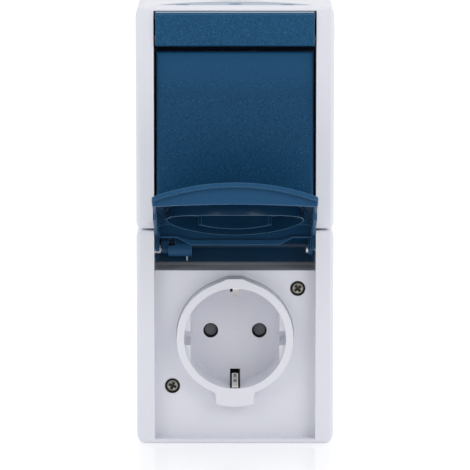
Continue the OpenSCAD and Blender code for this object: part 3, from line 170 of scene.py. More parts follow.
class SocketFine(bpy.types.PropertyGroup):
    """Sizes of the fine pieces."""

    head: length("Head", "Radius of a cover screw's head", 2.1)
    head_h: length("Head height", "Height of a cover screw's head", 1.1)
    shank: length("Shank", "Radius of a cover screw's shank", 1.5)
    pitch: length("Pitch", "Rise of the screw's thread in one turn", 1.0)
    thread: length("Thread", "Depth of the screw's thread", 0.22)
    arm: length("Arm", "Half length of the cross recess", 1.6)
    arm_w: length("Arm width", "Half width of the cross recess", 0.55)
    recess: length("Recess", "Depth of the cross recess", 0.9)
    strip_t: length("Strip", "Thickness of the earth strip", 0.7)
    clip_reach: length("Clip reach", "Earth strip's outer run from the socket's middle", 20.3)
    clip_fold: length("Clip fold", "Size of the fold at the front of an earth clip", 0.8)
    clip_tail: length("Clip tail", "Depth of an earth clip behind its innermost point", 4.6)
    apex: length("Apex", "Innermost point of an earth clip from the socket's middle", 14.9)
    apex_back: length("Apex depth", "Innermost point of the lower earth clip behind its fold", 6.6)
    apex_near: length("Upper apex depth", "Innermost point of the upper earth clip behind its fold", 4.6)
    clip_low: length("Lower clip", "Half width of the lower earth clip", 1.2)
    clip_high: length("Upper clip", "Half width of the upper earth clip", 1.4)
    clip_shift: length("Upper shift", "Upper earth clip to the right of the middle", 0.45)
    pocket: length("Pocket", "Depth of the pocket pressed into the lower clip", 0.3)
    lit: length("Bright from", "Depth from the wall beyond which the earth strip stays bright", 34)
    tongue_half: length("Tongue", "Half width of the earth strip's tongue", 2.2)
    tongue_hole: length("Tongue hole", "Radius of the hole in the tongue", 1.55)
    tongue_drop: length("Tongue drop", "Tongue below the socket's middle", 18)
    pin_x: length("Pin", "Pin hole from the middle", 9.5)
    pin_mouth: length("Mouth", "Radius of a pin hole's lining at the floor", 2.88)
    pin_throat: length("Throat", "Radius of a pin hole's lining at its back", 2.25)
    pin_depth: length("Lining depth", "Depth of a pin hole's lining", 1.95)
    hinge: FloatVectorProperty(name="Hinge", description="A point on the lid's hinge line",
                               subtype="TRANSLATION", unit="LENGTH", size=3, precision=5,
                               default=(0, -38.7 * MM, -10.01 * MM))
    opened: turn("Opened", "Angle of the lid at rest", 107.5)
    crown_top: length("Crown top", "Top of the lid's crown above the hinge line of the closed lid", 14.67)
    crown_r: length("Crown radius", "Radius of the lid's crown", 90.6)
    coil: length("Coil", "Middle radius of the lid's spring", 1.4)
    coil_end: length("Coil end", "Middle radius of the spring's last turn", 1.2)
    wire: length("Wire", "Radius of the spring's wire", 0.35)
    coil_from: length("Coil from", "Start of the coil to the left of the middle", 18.65)
    coil_to: length("Coil to", "End of the coil to the left of the middle", 24.9)
    turns: IntProperty(name="Turns", description="Turns of the lid's spring", min=1, default=6)
    leg_low: length("Leg depth", "Spring's leg below the hinge line of the closed lid", -3.77)
    leg_back: length("Leg reach", "Spring's leg behind the hinge line of the closed lid", 4.5)


class SocketStage(bpy.types.PropertyGroup):
    """Floor, lights and camera."""

    floor: colour("Floor", "Colour of the floor", "F2F2F3")
    table: level("Table", "Strength of the light that the floor sends up", 0.2)
    glow: level("Glow", "What the camera sees of the floor beyond its own light", 0.01)
    right: power("Right", "Power of the large light on the right", 6.8)
    left: power("Left", "Power of the large light on the left", 4.2)
    fill: level("Fill", "Strength of the room's light straight in front", 0.34)
    walls: level("Walls", "Strength of the room's light from all other sides", 1.0)
    distance: length("Distance", "Camera from the aimed point", 1400)
    elevation: turn("Elevation", "Camera above the level", 9.1)
    focal_px: FloatProperty(name="Focal length", description="Focal length in pixels of the picture",
                            subtype="PIXEL", default=3583)
    drop: FloatProperty(name="Drop", description="Shift of the picture, as a share of its side",
                        subtype="FACTOR", min=-1, max=1, default=-0.0351)


def add(tree, kind, inputs=None, **settings):
    """Adds one node with its settings, and fills its sockets with values or links."""
    made = tree.nodes.new(kind)
    for name, value in settings.items():
        setattr(made, name, value)
    for key, value in (inputs or {}).items():
        if isinstance(value, bpy.types.NodeSocket):
            tree.links.new(value, made.inputs[key])
        else:
            made.inputs[key].default_value = value
    return made


def blank(name):
    """A new material with an empty tree, its object coordinates and its shader."""
    material = bpy.data.materials.new(name)
    material.use_nodes = True
    tree = material.node_tree
    tree.nodes.clear()
    place = add(tree, "ShaderNodeTexCoord").outputs["Object"]
    shader = add(tree, "ShaderNodeBsdfPrincipled")
    add(tree, "ShaderNodeOutputMaterial", {"Surface": shader.outputs[0]})
    return material, tree, place, shader


def tint(rgb, factor=1.0):
    """A colour times a factor, as RGBA."""
    return tuple(min(1.0, c * factor) for c in rgb) + (1.0,)


def moulded(name, rgb, rough, gloss, speck, grain, bump, edge, rim, mottle=0.03, coat=None, relief=None):
    """A moulded plastic or rubber: a cloudy colour, sparse light specks, uneven gloss, a fine raised grain
    and a painted highlight along the edges, towards the colour rim. speck is how much lighter a speck is,
    grain the spacing of the specks in metres, bump the strength of the grain and mottle the depth of the
    clouds. A coat changes the colour and roughness before the edge highlight is painted, and a relief turns
    the normal before the grain is raised."""
    cloud_size, grain_height, unevenness = 9 * MM, 0.05 * MM, 0.05
    speck_from, speck_full = 0.42, 0.78
    gloss_from, gloss_full = 0.25, 0.75
    painted_light_from, painted_light_full = 0.98, 0.8
    material, tree, place, shader = blank(name)
    cloud = add(tree, "ShaderNodeTexNoise", {"Vector": place, "Scale": 1 / cloud_size, "Detail": 2.0})
    fine = add(tree, "ShaderNodeTexNoise", {"Vector": place, "Scale": 1 / grain, "Detail": 1.0,
                                            "Roughness": 0.6})
    spread = add(tree, "ShaderNodeMapRange", {"Value": fine.outputs[0], "From Min": speck_from,
                                              "From Max": speck_full})
    base = add(tree, "ShaderNodeMix", {0: cloud.outputs[0], COLOUR_A: tint(rgb, 1 - mottle),
                                       COLOUR_B: tint(rgb, 1 + mottle)}, data_type="RGBA")
    light = add(tree, "ShaderNodeMix", {0: spread.outputs[0], COLOUR_A: (1 - speck / 3,) * 3 + (1,),
                                        COLOUR_B: (1 + speck,) * 3 + (1,)},
                data_type="RGBA", clamp_result=False)
    tone = add(tree, "ShaderNodeMix", {0: 1.0, COLOUR_A: base.outputs[COLOUR_OUT],
                                       COLOUR_B: light.outputs[COLOUR_OUT]},
               data_type="RGBA", blend_type="MULTIPLY", clamp_result=False).outputs[COLOUR_OUT]
    uneven = add(tree, "ShaderNodeMapRange", {"Value": fine.outputs[0], "From Min": gloss_from,
                                              "From Max": gloss_full, "To Min": rough - unevenness,
                                              "To Max": rough + unevenness}).outputs[0]
    if coat:
        tone, uneven = coat(tree, place, tone, uneven)
    # Painted highlight: near an edge, where the bevelled normal turns from the true one, the colour goes to
    # the rim colour.
    soft = add(tree, "ShaderNodeBevel", {"Radius": edge}, samples=6).outputs[0]
    true = add(tree, "ShaderNodeNewGeometry").outputs["Normal"]
    turned = add(tree, "ShaderNodeVectorMath", {0: soft, 1: true}, operation="DOT_PRODUCT")
    painted_light = add(tree, "ShaderNodeMapRange", {"Value": turned.outputs["Value"], "From Min": painted_light_from,
                                              "From Max": painted_light_full})
    tone = add(tree, "ShaderNodeMix", {0: painted_light.outputs[0], COLOUR_A: tone, COLOUR_B: tint(rim)},
               data_type="RGBA").outputs[COLOUR_OUT]
    if relief:
        soft = relief(tree, place, soft)
    raised = add(tree, "ShaderNodeBump", {"Height": fine.outputs[0], "Strength": bump,
                                          "Distance": grain_height, "Normal": soft})
    tree.links.new(tone, shader.inputs["Base Color"])
    tree.links.new(uneven, shader.inputs["Roughness"])
    tree.links.new(raised.outputs[0], shader.inputs["Normal"])
    shader.inputs["IOR"].default_value = 1.5
    shader.inputs["Specular IOR Level"].default_value = gloss
    return material


def banded(rgb, start, full):
    """A coat that brings in a colour from one height to another."""
    def coat(tree, place, tone, uneven):
        height = add(tree, "ShaderNodeSeparateXYZ", {0: place}).outputs["Z"]
        above = add(tree, "ShaderNodeMapRange", {"Value": height, "From Min": start, "From Max": full})
        mixed = add(tree, "ShaderNodeMix", {0: above.outputs[0], COLOUR_A: tone, COLOUR_B: tint(rgb)},
                    data_type="RGBA")
        return mixed.outputs[COLOUR_OUT], uneven
    return coat


def polished_and_shaded(rgb, smooth, skin_depth, cross, walls, rounds):
    """A coat that polishes the inside of a shell and gives it a darker colour of painted shade: what lies
    deeper than its skin behind every wall (direction, reach), inside or outside every round form (axis,
    place, radius,
    1 or -1) and clear of a cross wall (direction, middle, half)."""
    soft_edge = 0.1 * MM

    def coat(tree, place, tone, uneven):
        ahead, middle, half = cross
        along = add(tree, "ShaderNodeVectorMath", {0: place, 1: ahead}, operation="DOT_PRODUCT")
        off = add(tree, "ShaderNodeMath", {0: along.outputs["Value"], 1: middle}, operation="SUBTRACT")
        clear = add(tree, "ShaderNodeMath", {0: off.outputs[0]}, operation="ABSOLUTE")
        depths = [add(tree, "ShaderNodeMath", {0: clear.outputs[0], 1: half}, operation="SUBTRACT")]
        for way, reach in walls:
            along = add(tree, "ShaderNodeVectorMath", {0: place, 1: way}, operation="DOT_PRODUCT")
            depths.append(add(tree, "ShaderNodeMath", {0: reach, 1: along.outputs["Value"]},
                              operation="SUBTRACT"))
        for way, point, radius, side in rounds:
            along = add(tree, "ShaderNodeVectorMath", {0: place, 1: way}, operation="DOT_PRODUCT")
            part = add(tree, "ShaderNodeVectorMath", {0: way, "Scale": along.outputs["Value"]},
                       operation="SCALE")
            flat = add(tree, "ShaderNodeVectorMath", {0: place, 1: part.outputs[0]}, operation="SUBTRACT")
            far = add(tree, "ShaderNodeVectorMath", {0: flat.outputs[0], 1: point}, operation="DISTANCE")
            depths.append(add(tree, "ShaderNodeMath", {0: far.outputs["Value"], 1: -side, 2: side * radius},
                              operation="MULTIPLY_ADD"))
        within = depths[0].outputs[0]
        for depth in depths[1:]:
            within = add(tree, "ShaderNodeMath", {0: within, 1: depth.outputs[0]},
                         operation="MINIMUM").outputs[0]
        there = add(tree, "ShaderNodeMapRange", {"Value": within, "From Min": skin_depth - soft_edge,
                                                 "From Max": skin_depth + soft_edge})
        mixed = add(tree, "ShaderNodeMix", {0: there.outputs[0], COLOUR_A: tone, COLOUR_B: tint(rgb)},
                    data_type="RGBA")
        glossy = add(tree, "ShaderNodeMix", {0: there.outputs[0], NUMBER_A: uneven, NUMBER_B: smooth})
        return mixed.outputs[COLOUR_OUT], glossy.outputs[0]
    return coat


def barrelled(middle, half, rise):
    """A relief that shades a face as if it were a barrel about X with a parabola of that rise."""
    def relief(tree, place, normal):
        height = add(tree, "ShaderNodeSeparateXYZ", {0: place}).outputs["Z"]
        off = add(tree, "ShaderNodeMapRange", {"Value": height, "From Min": middle,
                                               "From Max": middle + half}, clamp=False)
        square = add(tree, "ShaderNodeMath", {0: off.outputs[0], 1: off.outputs[0]}, operation="MULTIPLY")
        return add(tree, "ShaderNodeBump", {"Height": square.outputs[0], "Strength": 1.0, "Distance": rise,
                                            "Normal": normal}, invert=True).outputs[0]
    return relief


def dimpled(x, z, radius, depth):
    """A relief that shades a round dimple about a line along Y."""
    def relief(tree, place, normal):
        away = add(tree, "ShaderNodeVectorMath", {0: place, 1: (1, 0, 1)}, operation="MULTIPLY")
        near = add(tree, "ShaderNodeVectorMath", {0: away.outputs[0], 1: (x, 0, z)}, operation="DISTANCE")
        hollow = add(tree, "ShaderNodeMapRange", {"Value": near.outputs["Value"], "From Max": radius},
                     interpolation_type="SMOOTHSTEP")
        return add(tree, "ShaderNodeBump", {"Height": hollow.outputs[0], "Strength": 1.0, "Distance": depth,
                                            "Normal": normal}).outputs[0]
    return relief


def metal(name, rgb, rough, stretch, line, painted_shade=None, vary=0.12):
    """A bright metal with fine drawn or rolled lines: roughness and colour vary along stretched noise, and
    line is the spacing of the lines in metres. The pair (colour, attribute) given after line brings in
    painted
    shade: that dark colour, without metal, where the piece's own attribute is 1."""
    line_height, line_strength = 0.03 * MM, 0.15
    gloss_from, gloss_full, smoother, rougher = 0.3, 0.7, 0.07, 0.1
    material, tree, place, shader = blank(name)
    turned = add(tree, "ShaderNodeMapping", {"Vector": place, "Scale": stretch})
    lines = add(tree, "ShaderNodeTexNoise", {"Vector": turned.outputs[0], "Scale": 1 / line, "Detail": 3.0})
    tone = add(tree, "ShaderNodeMix", {0: lines.outputs[0], COLOUR_A: tint(rgb, 1 - vary),
                                       COLOUR_B: tint(rgb, 1 + vary)}, data_type="RGBA").outputs[COLOUR_OUT]
    uneven = add(tree, "ShaderNodeMapRange", {"Value": lines.outputs[0], "From Min": gloss_from,
                                              "From Max": gloss_full, "To Min": rough - smoother,
                                              "To Max": rough + rougher})
    raised = add(tree, "ShaderNodeBump", {"Height": lines.outputs[0], "Strength": line_strength,
                                          "Distance": line_height})
    # Painted shade: where the attribute is 1 the metal turns to a dark colour without metal.
    if painted_shade:
        dull_and_shade, mark = painted_shade
        sunk = add(tree, "ShaderNodeAttribute", attribute_name=mark).outputs["Fac"]
        tone = add(tree, "ShaderNodeMix", {0: sunk, COLOUR_A: tone, COLOUR_B: tint(dull_and_shade)},
                   data_type="RGBA").outputs[COLOUR_OUT]
        bright = add(tree, "ShaderNodeMath", {0: 1.0, 1: sunk}, operation="SUBTRACT")
        tree.links.new(bright.outputs[0], shader.inputs["Metallic"])
    else:
        shader.inputs["Metallic"].default_value = 1.0
    tree.links.new(tone, shader.inputs["Base Color"])
    tree.links.new(uneven.outputs[0], shader.inputs["Roughness"])
    tree.links.new(raised.outputs[0], shader.inputs["Normal"])
    return material


def dress(material, *names):
    """Gives the CAD nodes a material."""
    for name in names:
        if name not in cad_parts:
            raise RuntimeError(f"no node {name}")
        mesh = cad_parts[name].data
        mesh.materials.clear()
        mesh.materials.append(material)


def corners(name):
    """Every vertex of a CAD node, as an array of points."""
    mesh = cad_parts[name].data
    flat = np.empty(len(mesh.vertices) * 3, np.float32)
    mesh.vertices.foreach_get("co", flat)
    return flat.reshape(-1, 3).astype(float)


def skin(rows, ring=False):
    """Points and groups of faces of a closed skin: each row of the (rows, columns, 3) array is a closed loop
    of points, joined to the next row by quads. The first and last rows are closed by triangles to their
    middles. In a ring the last row is joined to the first, and the faces are turned the other way."""
    count, columns = rows.shape[:2]
    i, j = np.meshgrid(np.arange(count if ring else count - 1), np.arange(columns), indexing="ij")
    row, following = i * columns, (i + 1) % count * columns
    beside = (j + 1) % columns
    quads = np.stack([row + j, row + beside, following + beside, following + j], -1).reshape(-1, 4)
    if ring:
        return rows.reshape(-1, 3), [quads[:, [0, 3, 2, 1]]]
    here = np.arange(columns)
    after = (here + 1) % columns
    last = (count - 1) * columns
    pole = np.full(columns, count * columns)
    caps = [np.stack([pole, after, here], -1), np.stack([pole + 1, last + here, last + after], -1)]
    points = np.concatenate([rows.reshape(-1, 3), rows[:1].mean(1), rows[-1:].mean(1)])
    return points, [quads] + caps


def tube(path, radius, across, sides=14):
    """A wire: a circle of the given radius carried along the path, square to it. Its first axis is the path's
    direction crossed with the direction across, and its second is square to both."""
    along = np.gradient(path, axis=0)
    along /= np.linalg.norm(along, axis=1, keepdims=True)
    first = np.cross(along, across)
    first /= np.linalg.norm(first, axis=1, keepdims=True)
    second = np.cross(along, first)
    angle = np.linspace(0, 2 * np.pi, sides, endpoint=False)
    ring = np.cos(angle)[None, :, None] * first[:, None] + np.sin(angle)[None, :, None] * second[:, None]
    return path[:, None] + radius * ring


def join(parts):
    """Several skins as one."""
    starts = np.cumsum([0] + [len(points) for points, _ in parts])
    points = np.concatenate([points for points, _ in parts])
    return points, [faces + start for start, (_, groups) in zip(starts, parts) for faces in groups]


def piece(name, shape, material, **marks):
    """A mesh object at the origin with smooth faces and its sharp edges kept. Each mark is a value for every
    point, kept as an attribute of that name."""
    points, groups = shape
    mesh = bpy.data.meshes.new(name)
    mesh.from_pydata(points.tolist(), [], [face for group in groups for face in group.tolist()])
    mesh.materials.append(material)
    mesh.polygons.foreach_set("use_smooth", np.ones(len(mesh.polygons), bool))
    mesh.set_sharp_from_angle(angle=SHARP)
    for mark, values in marks.items():
        held = mesh.attributes.new(mark, "FLOAT", "POINT")
        held.data.foreach_set("value", np.asarray(values, np.float32))
    mesh.update()
    made = bpy.data.objects.new(name, mesh)
    bpy.context.scene.collection.objects.link(made)
    return made


class OBJECT_OT_white_mouldings(bpy.types.Operator):
    """Finishes the white box, covers and socket"""

    bl_idname = "object.socket_white_mouldings"
    bl_label = "White mouldings"

    def execute(self, context):
        s = context.scene.socket_finishes
        # White ABS from a finely eroded mould: soft gloss, hardly any pattern, and a painted highlight along
        # the edges.
        satin = dict(rgb=s.white, rough=s.white_rough, gloss=0.4, speck=0.012, grain=0.6 * MM, bump=0.06,
                     edge=s.edge, rim=s.white_edge_light, mottle=0.008)
        dress(moulded("abs_white_moulded", **satin), "back_box", "lower_cover", "upper_cover")
        # The same with the small round gate mark in the middle of the well's floor.
        low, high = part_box("earth_bow")
        gate = dimpled(0, (low[2] + high[2]) / 2, radius=1.3 * MM, depth=0.1 * MM)
        dress(moulded("abs_white_gate_marked", **satin, relief=gate), "socket_insert")
        return {"FINISHED"}


class OBJECT_OT_blue_mouldings(bpy.types.Operator):
    """Finishes the blue lid, rocker and strip"""

    bl_idname = "object.socket_blue_mouldings"
    bl_label = "Blue mouldings"

    # Outer walls of the closed lid: degrees that each faces back from straight outwards, and millimetres
    # from the hinge line.
    WALLS = {"roof": (3.07, 11.44), "shoulder": (30, 6.116), "rear corner": (60, 6.665), "rear": (90, 6.5),
             "free end": (-90, 70.3)}
    SKIN = 1.0 * MM
    CROSS_MIDDLE = 5.3 * MM
    CROSS_HALF = 1.6 * MM
    BARREL = 3.2 * MM

    def execute(self, context):
        s = context.scene.socket_finishes
        # Blue ABS, hardly grained outside. Inside, the lid is polished, with clear reflections, and painted
        # shade makes it deeper in tone.
        inner = polished_and_shaded(s.painted_shade, s.deep_rough, self.SKIN, *self.inside(context.scene.socket_fine))
        dress(moulded("abs_blue_polished_shaded_inside", s.blue, s.blue_rough, gloss=0.26, speck=0.2, grain=s.grain,
                      bump=0.1, edge=s.edge, rim=s.blue_edge_light, coat=inner), "lid")
        # Blue ABS with a coarser eroded grain: fine light specks, a dull sheen and a painted highlight along
        # the edges. The grain is drawn about twice as coarse as the real one, so that it shows. The rocker's
        # face looks slightly barrelled, lighter above than below, and a band of painted light lightens it
        # along its top.
        grained = dict(rough=s.blue_rough, gloss=0.16, speck=0.6, grain=s.grain, bump=0.3, edge=1.6 * s.edge,
                       rim=s.blue_edge_light)
        low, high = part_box("rocker")
        barrel = barrelled((low[2] + high[2]) / 2, (high[2] - low[2]) / 2, s.crown)
        # Painted light: over the band below its top edge the rocker turns to the lighter colour.
        top = banded(s.painted_light, high[2] - s.light_band, high[2])
        dress(moulded("abs_blue_barrelled", s.rocker, **grained, coat=top, relief=barrel), "rocker")
        # The same with a painted highlight that makes the upper edge and flange pale.
        upper = banded(s.strip_highlight, s.highlight_from, s.highlight_from + 0.2 * MM)
        dress(moulded("abs_blue_painted_highlight_edge", s.strip, **grained, coat=upper), "label_strip")
        return {"FINISHED"}

    def inside(self, f):
        """The lid's cross wall, outer walls and round forms, in the closed lid's own directions from the
        hinge (first to the free end, then outwards), turned to where the open lid stands. The round forms are
        the crown, which holds the inside, and the hinge barrel, which stays unpolished."""
        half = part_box("lid")[1][0]
        hinge = Vector(f.hinge)
        cos, sin = math.cos(-f.opened), math.sin(-f.opened)

        def stands(lean, reach):
            ahead, out = -math.sin(math.radians(lean)), math.cos(math.radians(lean))
            way = Vector((0, ahead * sin - out * cos, -ahead * cos - out * sin))
            return tuple(way), reach + way.dot(hinge)

        walls = [((1, 0, 0), half), ((-1, 0, 0), half)]
        walls += [stands(lean, reach * MM) for lean, reach in self.WALLS.values()]
        ahead, middle = stands(-90, self.CROSS_MIDDLE)
        out, centre = stands(0, f.crown_top - f.crown_r)
        rounds = ((ahead, tuple(centre * Vector(out)), f.crown_r, 1),
                  ((1, 0, 0), (0, hinge.y, hinge.z), self.BARREL - self.SKIN, -1))
        return (ahead, middle, self.CROSS_HALF - self.SKIN), walls, rounds


class OBJECT_OT_inner_blocks(bpy.types.Operator):
    """Finishes the insulating blocks, the plunger and the shutter"""

    bl_idname = "object.socket_inner_blocks"
    bl_label = "Inner blocks"

    def execute(self, context):
        s = context.scene.socket_finishes
        # Glass-filled polyamide: dark grey with pale flecks, and a painted highlight along the edges.
        dress(moulded("polyamide_filled_moulded", s.grey, rough=0.5, gloss=0.3, speck=0.12, grain=0.9 * MM,
                      bump=0.2, edge=s.edge, rim=s.dark), "socket_base", "switch_base", "plunger")
        # Smooth dark polyamide seen through the pin holes.
        dress(moulded("polyamide_smooth_moulded", s.dark, rough=0.4, gloss=0.3, speck=0.06, grain=0.5 * MM,
                      bump=0.1, edge=s.edge, rim=s.dark), "shutter")
        return {"FINISHED"}


class OBJECT_OT_rubber_pieces(bpy.types.Operator):
    """Finishes the gasket, the seals and the grommet"""

    bl_idname = "object.socket_rubber_pieces"
    bl_label = "Rubber pieces"

    def execute(self, context):
        s = context.scene.socket_finishes
        # Moulded black rubber: nearly black, dull, slightly cloudy.
        dull_and_shade = dict(rough=0.6, gloss=0.25, speck=0.12, grain=0.7 * MM, bump=0.3, edge=s.edge, mottle=0.1)
        dress(moulded("rubber_black_moulded", s.rubber, **dull_and_shade, rim=s.rubber), "box_gasket", "screw_seals",
              "entry_grommet")
        # The same in a dark slate, which shows in the gap round the rocker.
        dress(moulded("rubber_slate_moulded", s.membrane, **dull_and_shade, rim=s.membrane), "switch_seal")
        return {"FINISHED"}


class OBJECT_OT_metal_pieces(bpy.types.Operator):
    """Finishes the hidden screws, the pins, the small springs and the contacts"""

    bl_idname = "object.socket_metal_pieces"
    bl_label = "Metal pieces"

    def execute(self, context):
        s = context.scene.socket_finishes
        # Zinc plated steel: grey and slightly uneven.
        dress(metal("steel_zinc_plated", s.plated, rough=0.34, stretch=(1, 1, 1), line=0.8 * MM),
              "terminal_screws", "earth_screw", "base_screws")
        # Drawn steel wire and pins: pale, with fine lines along them.
        dress(metal("steel_drawn", s.drawn, rough=0.5, stretch=(0.3, 4, 4), line=0.8 * MM), "hinge_pin_left",
              "hinge_pin_right", "shutter_spring", "plunger_spring")
        # Stamped brass: warm, with faint rolled lines.
        dress(metal("brass_stamped", s.brass, rough=0.3, stretch=(1, 4, 1), line=1.0 * MM), "line_contact",
              "neutral_contact", "common_contact", "load_contact", "contact_bridge")
        return {"FINISHED"}


class OBJECT_OT_cover_screws(bpy.types.Operator):
    """Makes the four cover screws with domed heads, cross recesses and threads"""

    bl_idname = "object.socket_cover_screws"
    bl_label = "Cover screws"

    # How far each screw is turned, in radians, by its quarter of the front.
    SPINS = (0.35, 0.9, 0.1, 0.6)

    def execute(self, context):
        s, f = context.scene.socket_finishes, context.scene.socket_fine
        places = corners("cover_screws")
        shapes, depths = [], []
        for quarter, spin in enumerate(self.SPINS):
            inside = (places[:, 0] > 0) + 2 * (places[:, 2] > 0) == quarter
            if not inside.any():
                raise RuntimeError("a cover screw is missing")
            low, high = places[inside].min(0), places[inside].max(0)
            rows, sunk = self.screw(f, (low + high) / 2, low[1], high[1], spin)
            shapes.append(skin(rows))
            # The two poles are the tip, which gets no painted shade, and the middle of the recess, which is
            # fully shaded.
            depths += [sunk.ravel(), [0, 1]]
        # Zinc plated steel with a dull passivated coat, and painted shade that makes it nearly black in the
        # recess.
        coat = metal("steel_zinc_passivated", s.plated, rough=0.36, stretch=(1, 1, 1), line=0.5 * MM,
                     painted_shade=(s.metal_shade, "sunk"))
        screws = piece("cover_screws_fine", join(shapes), coat, sunk=np.concatenate(depths))
        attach(screws, "housing")
        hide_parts("cover_screws")
        return {"FINISHED"}

    def screw(self, f, middle, front, back, spin):
        """A screw as a skin of rings about the line along Y. The shank's radius falls by the thread's depth
        times a triangle wave of height over pitch plus angle. The head is a short cylinder under a low dome
        whose height falls with the radius to the power 2.4. The recess is two crossed arms: its depth grows
        with the distance inside an arm's edge, and more towards the middle. The second result is how far each
        point is sunk, from 0 to 1."""
        sides, tip_rings, turn_rings, dome_rings = 72, 8, 6, 46
        tip_gap, tip_l, neck, run_out, rounding = 0.05 * MM, 1.6 * MM, 0.5 * MM, 1.5 * MM, 0.12 * MM
        point, rim, dome_start, dome_edge, dome_end = 0.3, 0.62, 0.74, 0.97, 0.02
        flare, slope, shallow = 2.4, 0.7, 0.55
        angle = np.linspace(0, 2 * np.pi, sides, endpoint=False)[None]
        seat = front + f.head_h
        tip = np.linspace(back - tip_gap, back - tip_l, tip_rings)[:, None]
        body = np.linspace(back - tip_l, seat + neck, round((back - seat) / f.pitch * turn_rings))[:, None]
        depth = np.concatenate([tip, body[1:]]) + 0 * angle
        wave = np.abs(2 * ((depth / f.pitch + angle / (2 * np.pi)) % 1) - 1)
        wide = f.shank - f.thread * wave
        wide[:tip_rings] *= np.linspace(point, 1, tip_rings)[:, None]
        threaded = np.clip((depth - seat - neck) / run_out, 0, 1)
        wide = wide * threaded + f.shank * (1 - threaded)
        head_r = np.array([f.shank, f.head - rounding, f.head, f.head])[:, None] + 0 * angle
        head_y = np.array([seat, seat, seat - rounding, seat - rim * f.head_h])[:, None] + 0 * angle
        r = f.head * (np.linspace(dome_edge, dome_end, dome_rings)[:, None] + 0 * angle)
        dome = seat - f.head_h * (dome_start + (1 - dome_start) * (1 - (r / f.head) ** flare))
        across, up = np.abs(r * np.cos(angle + spin)), np.abs(r * np.sin(angle + spin))
        inside = np.maximum(np.minimum(f.arm_w - up, (f.arm - across) * slope),
                            np.minimum(f.arm_w - across, (f.arm - up) * slope))
        sunk = np.clip(inside / rounding, 0, 1)
        sink = sunk * f.recess * (shallow + (1 - shallow) * np.clip(1 - r / f.arm, 0, 1))
        radius = np.concatenate([wide, head_r, r])
        out = np.concatenate([depth, head_y, dome + sink])
        rows = np.stack([middle[0] + radius * np.cos(angle), out, middle[2] + radius * np.sin(angle)], -1)
        return rows, np.concatenate([0 * wide, 0 * head_r, sunk])


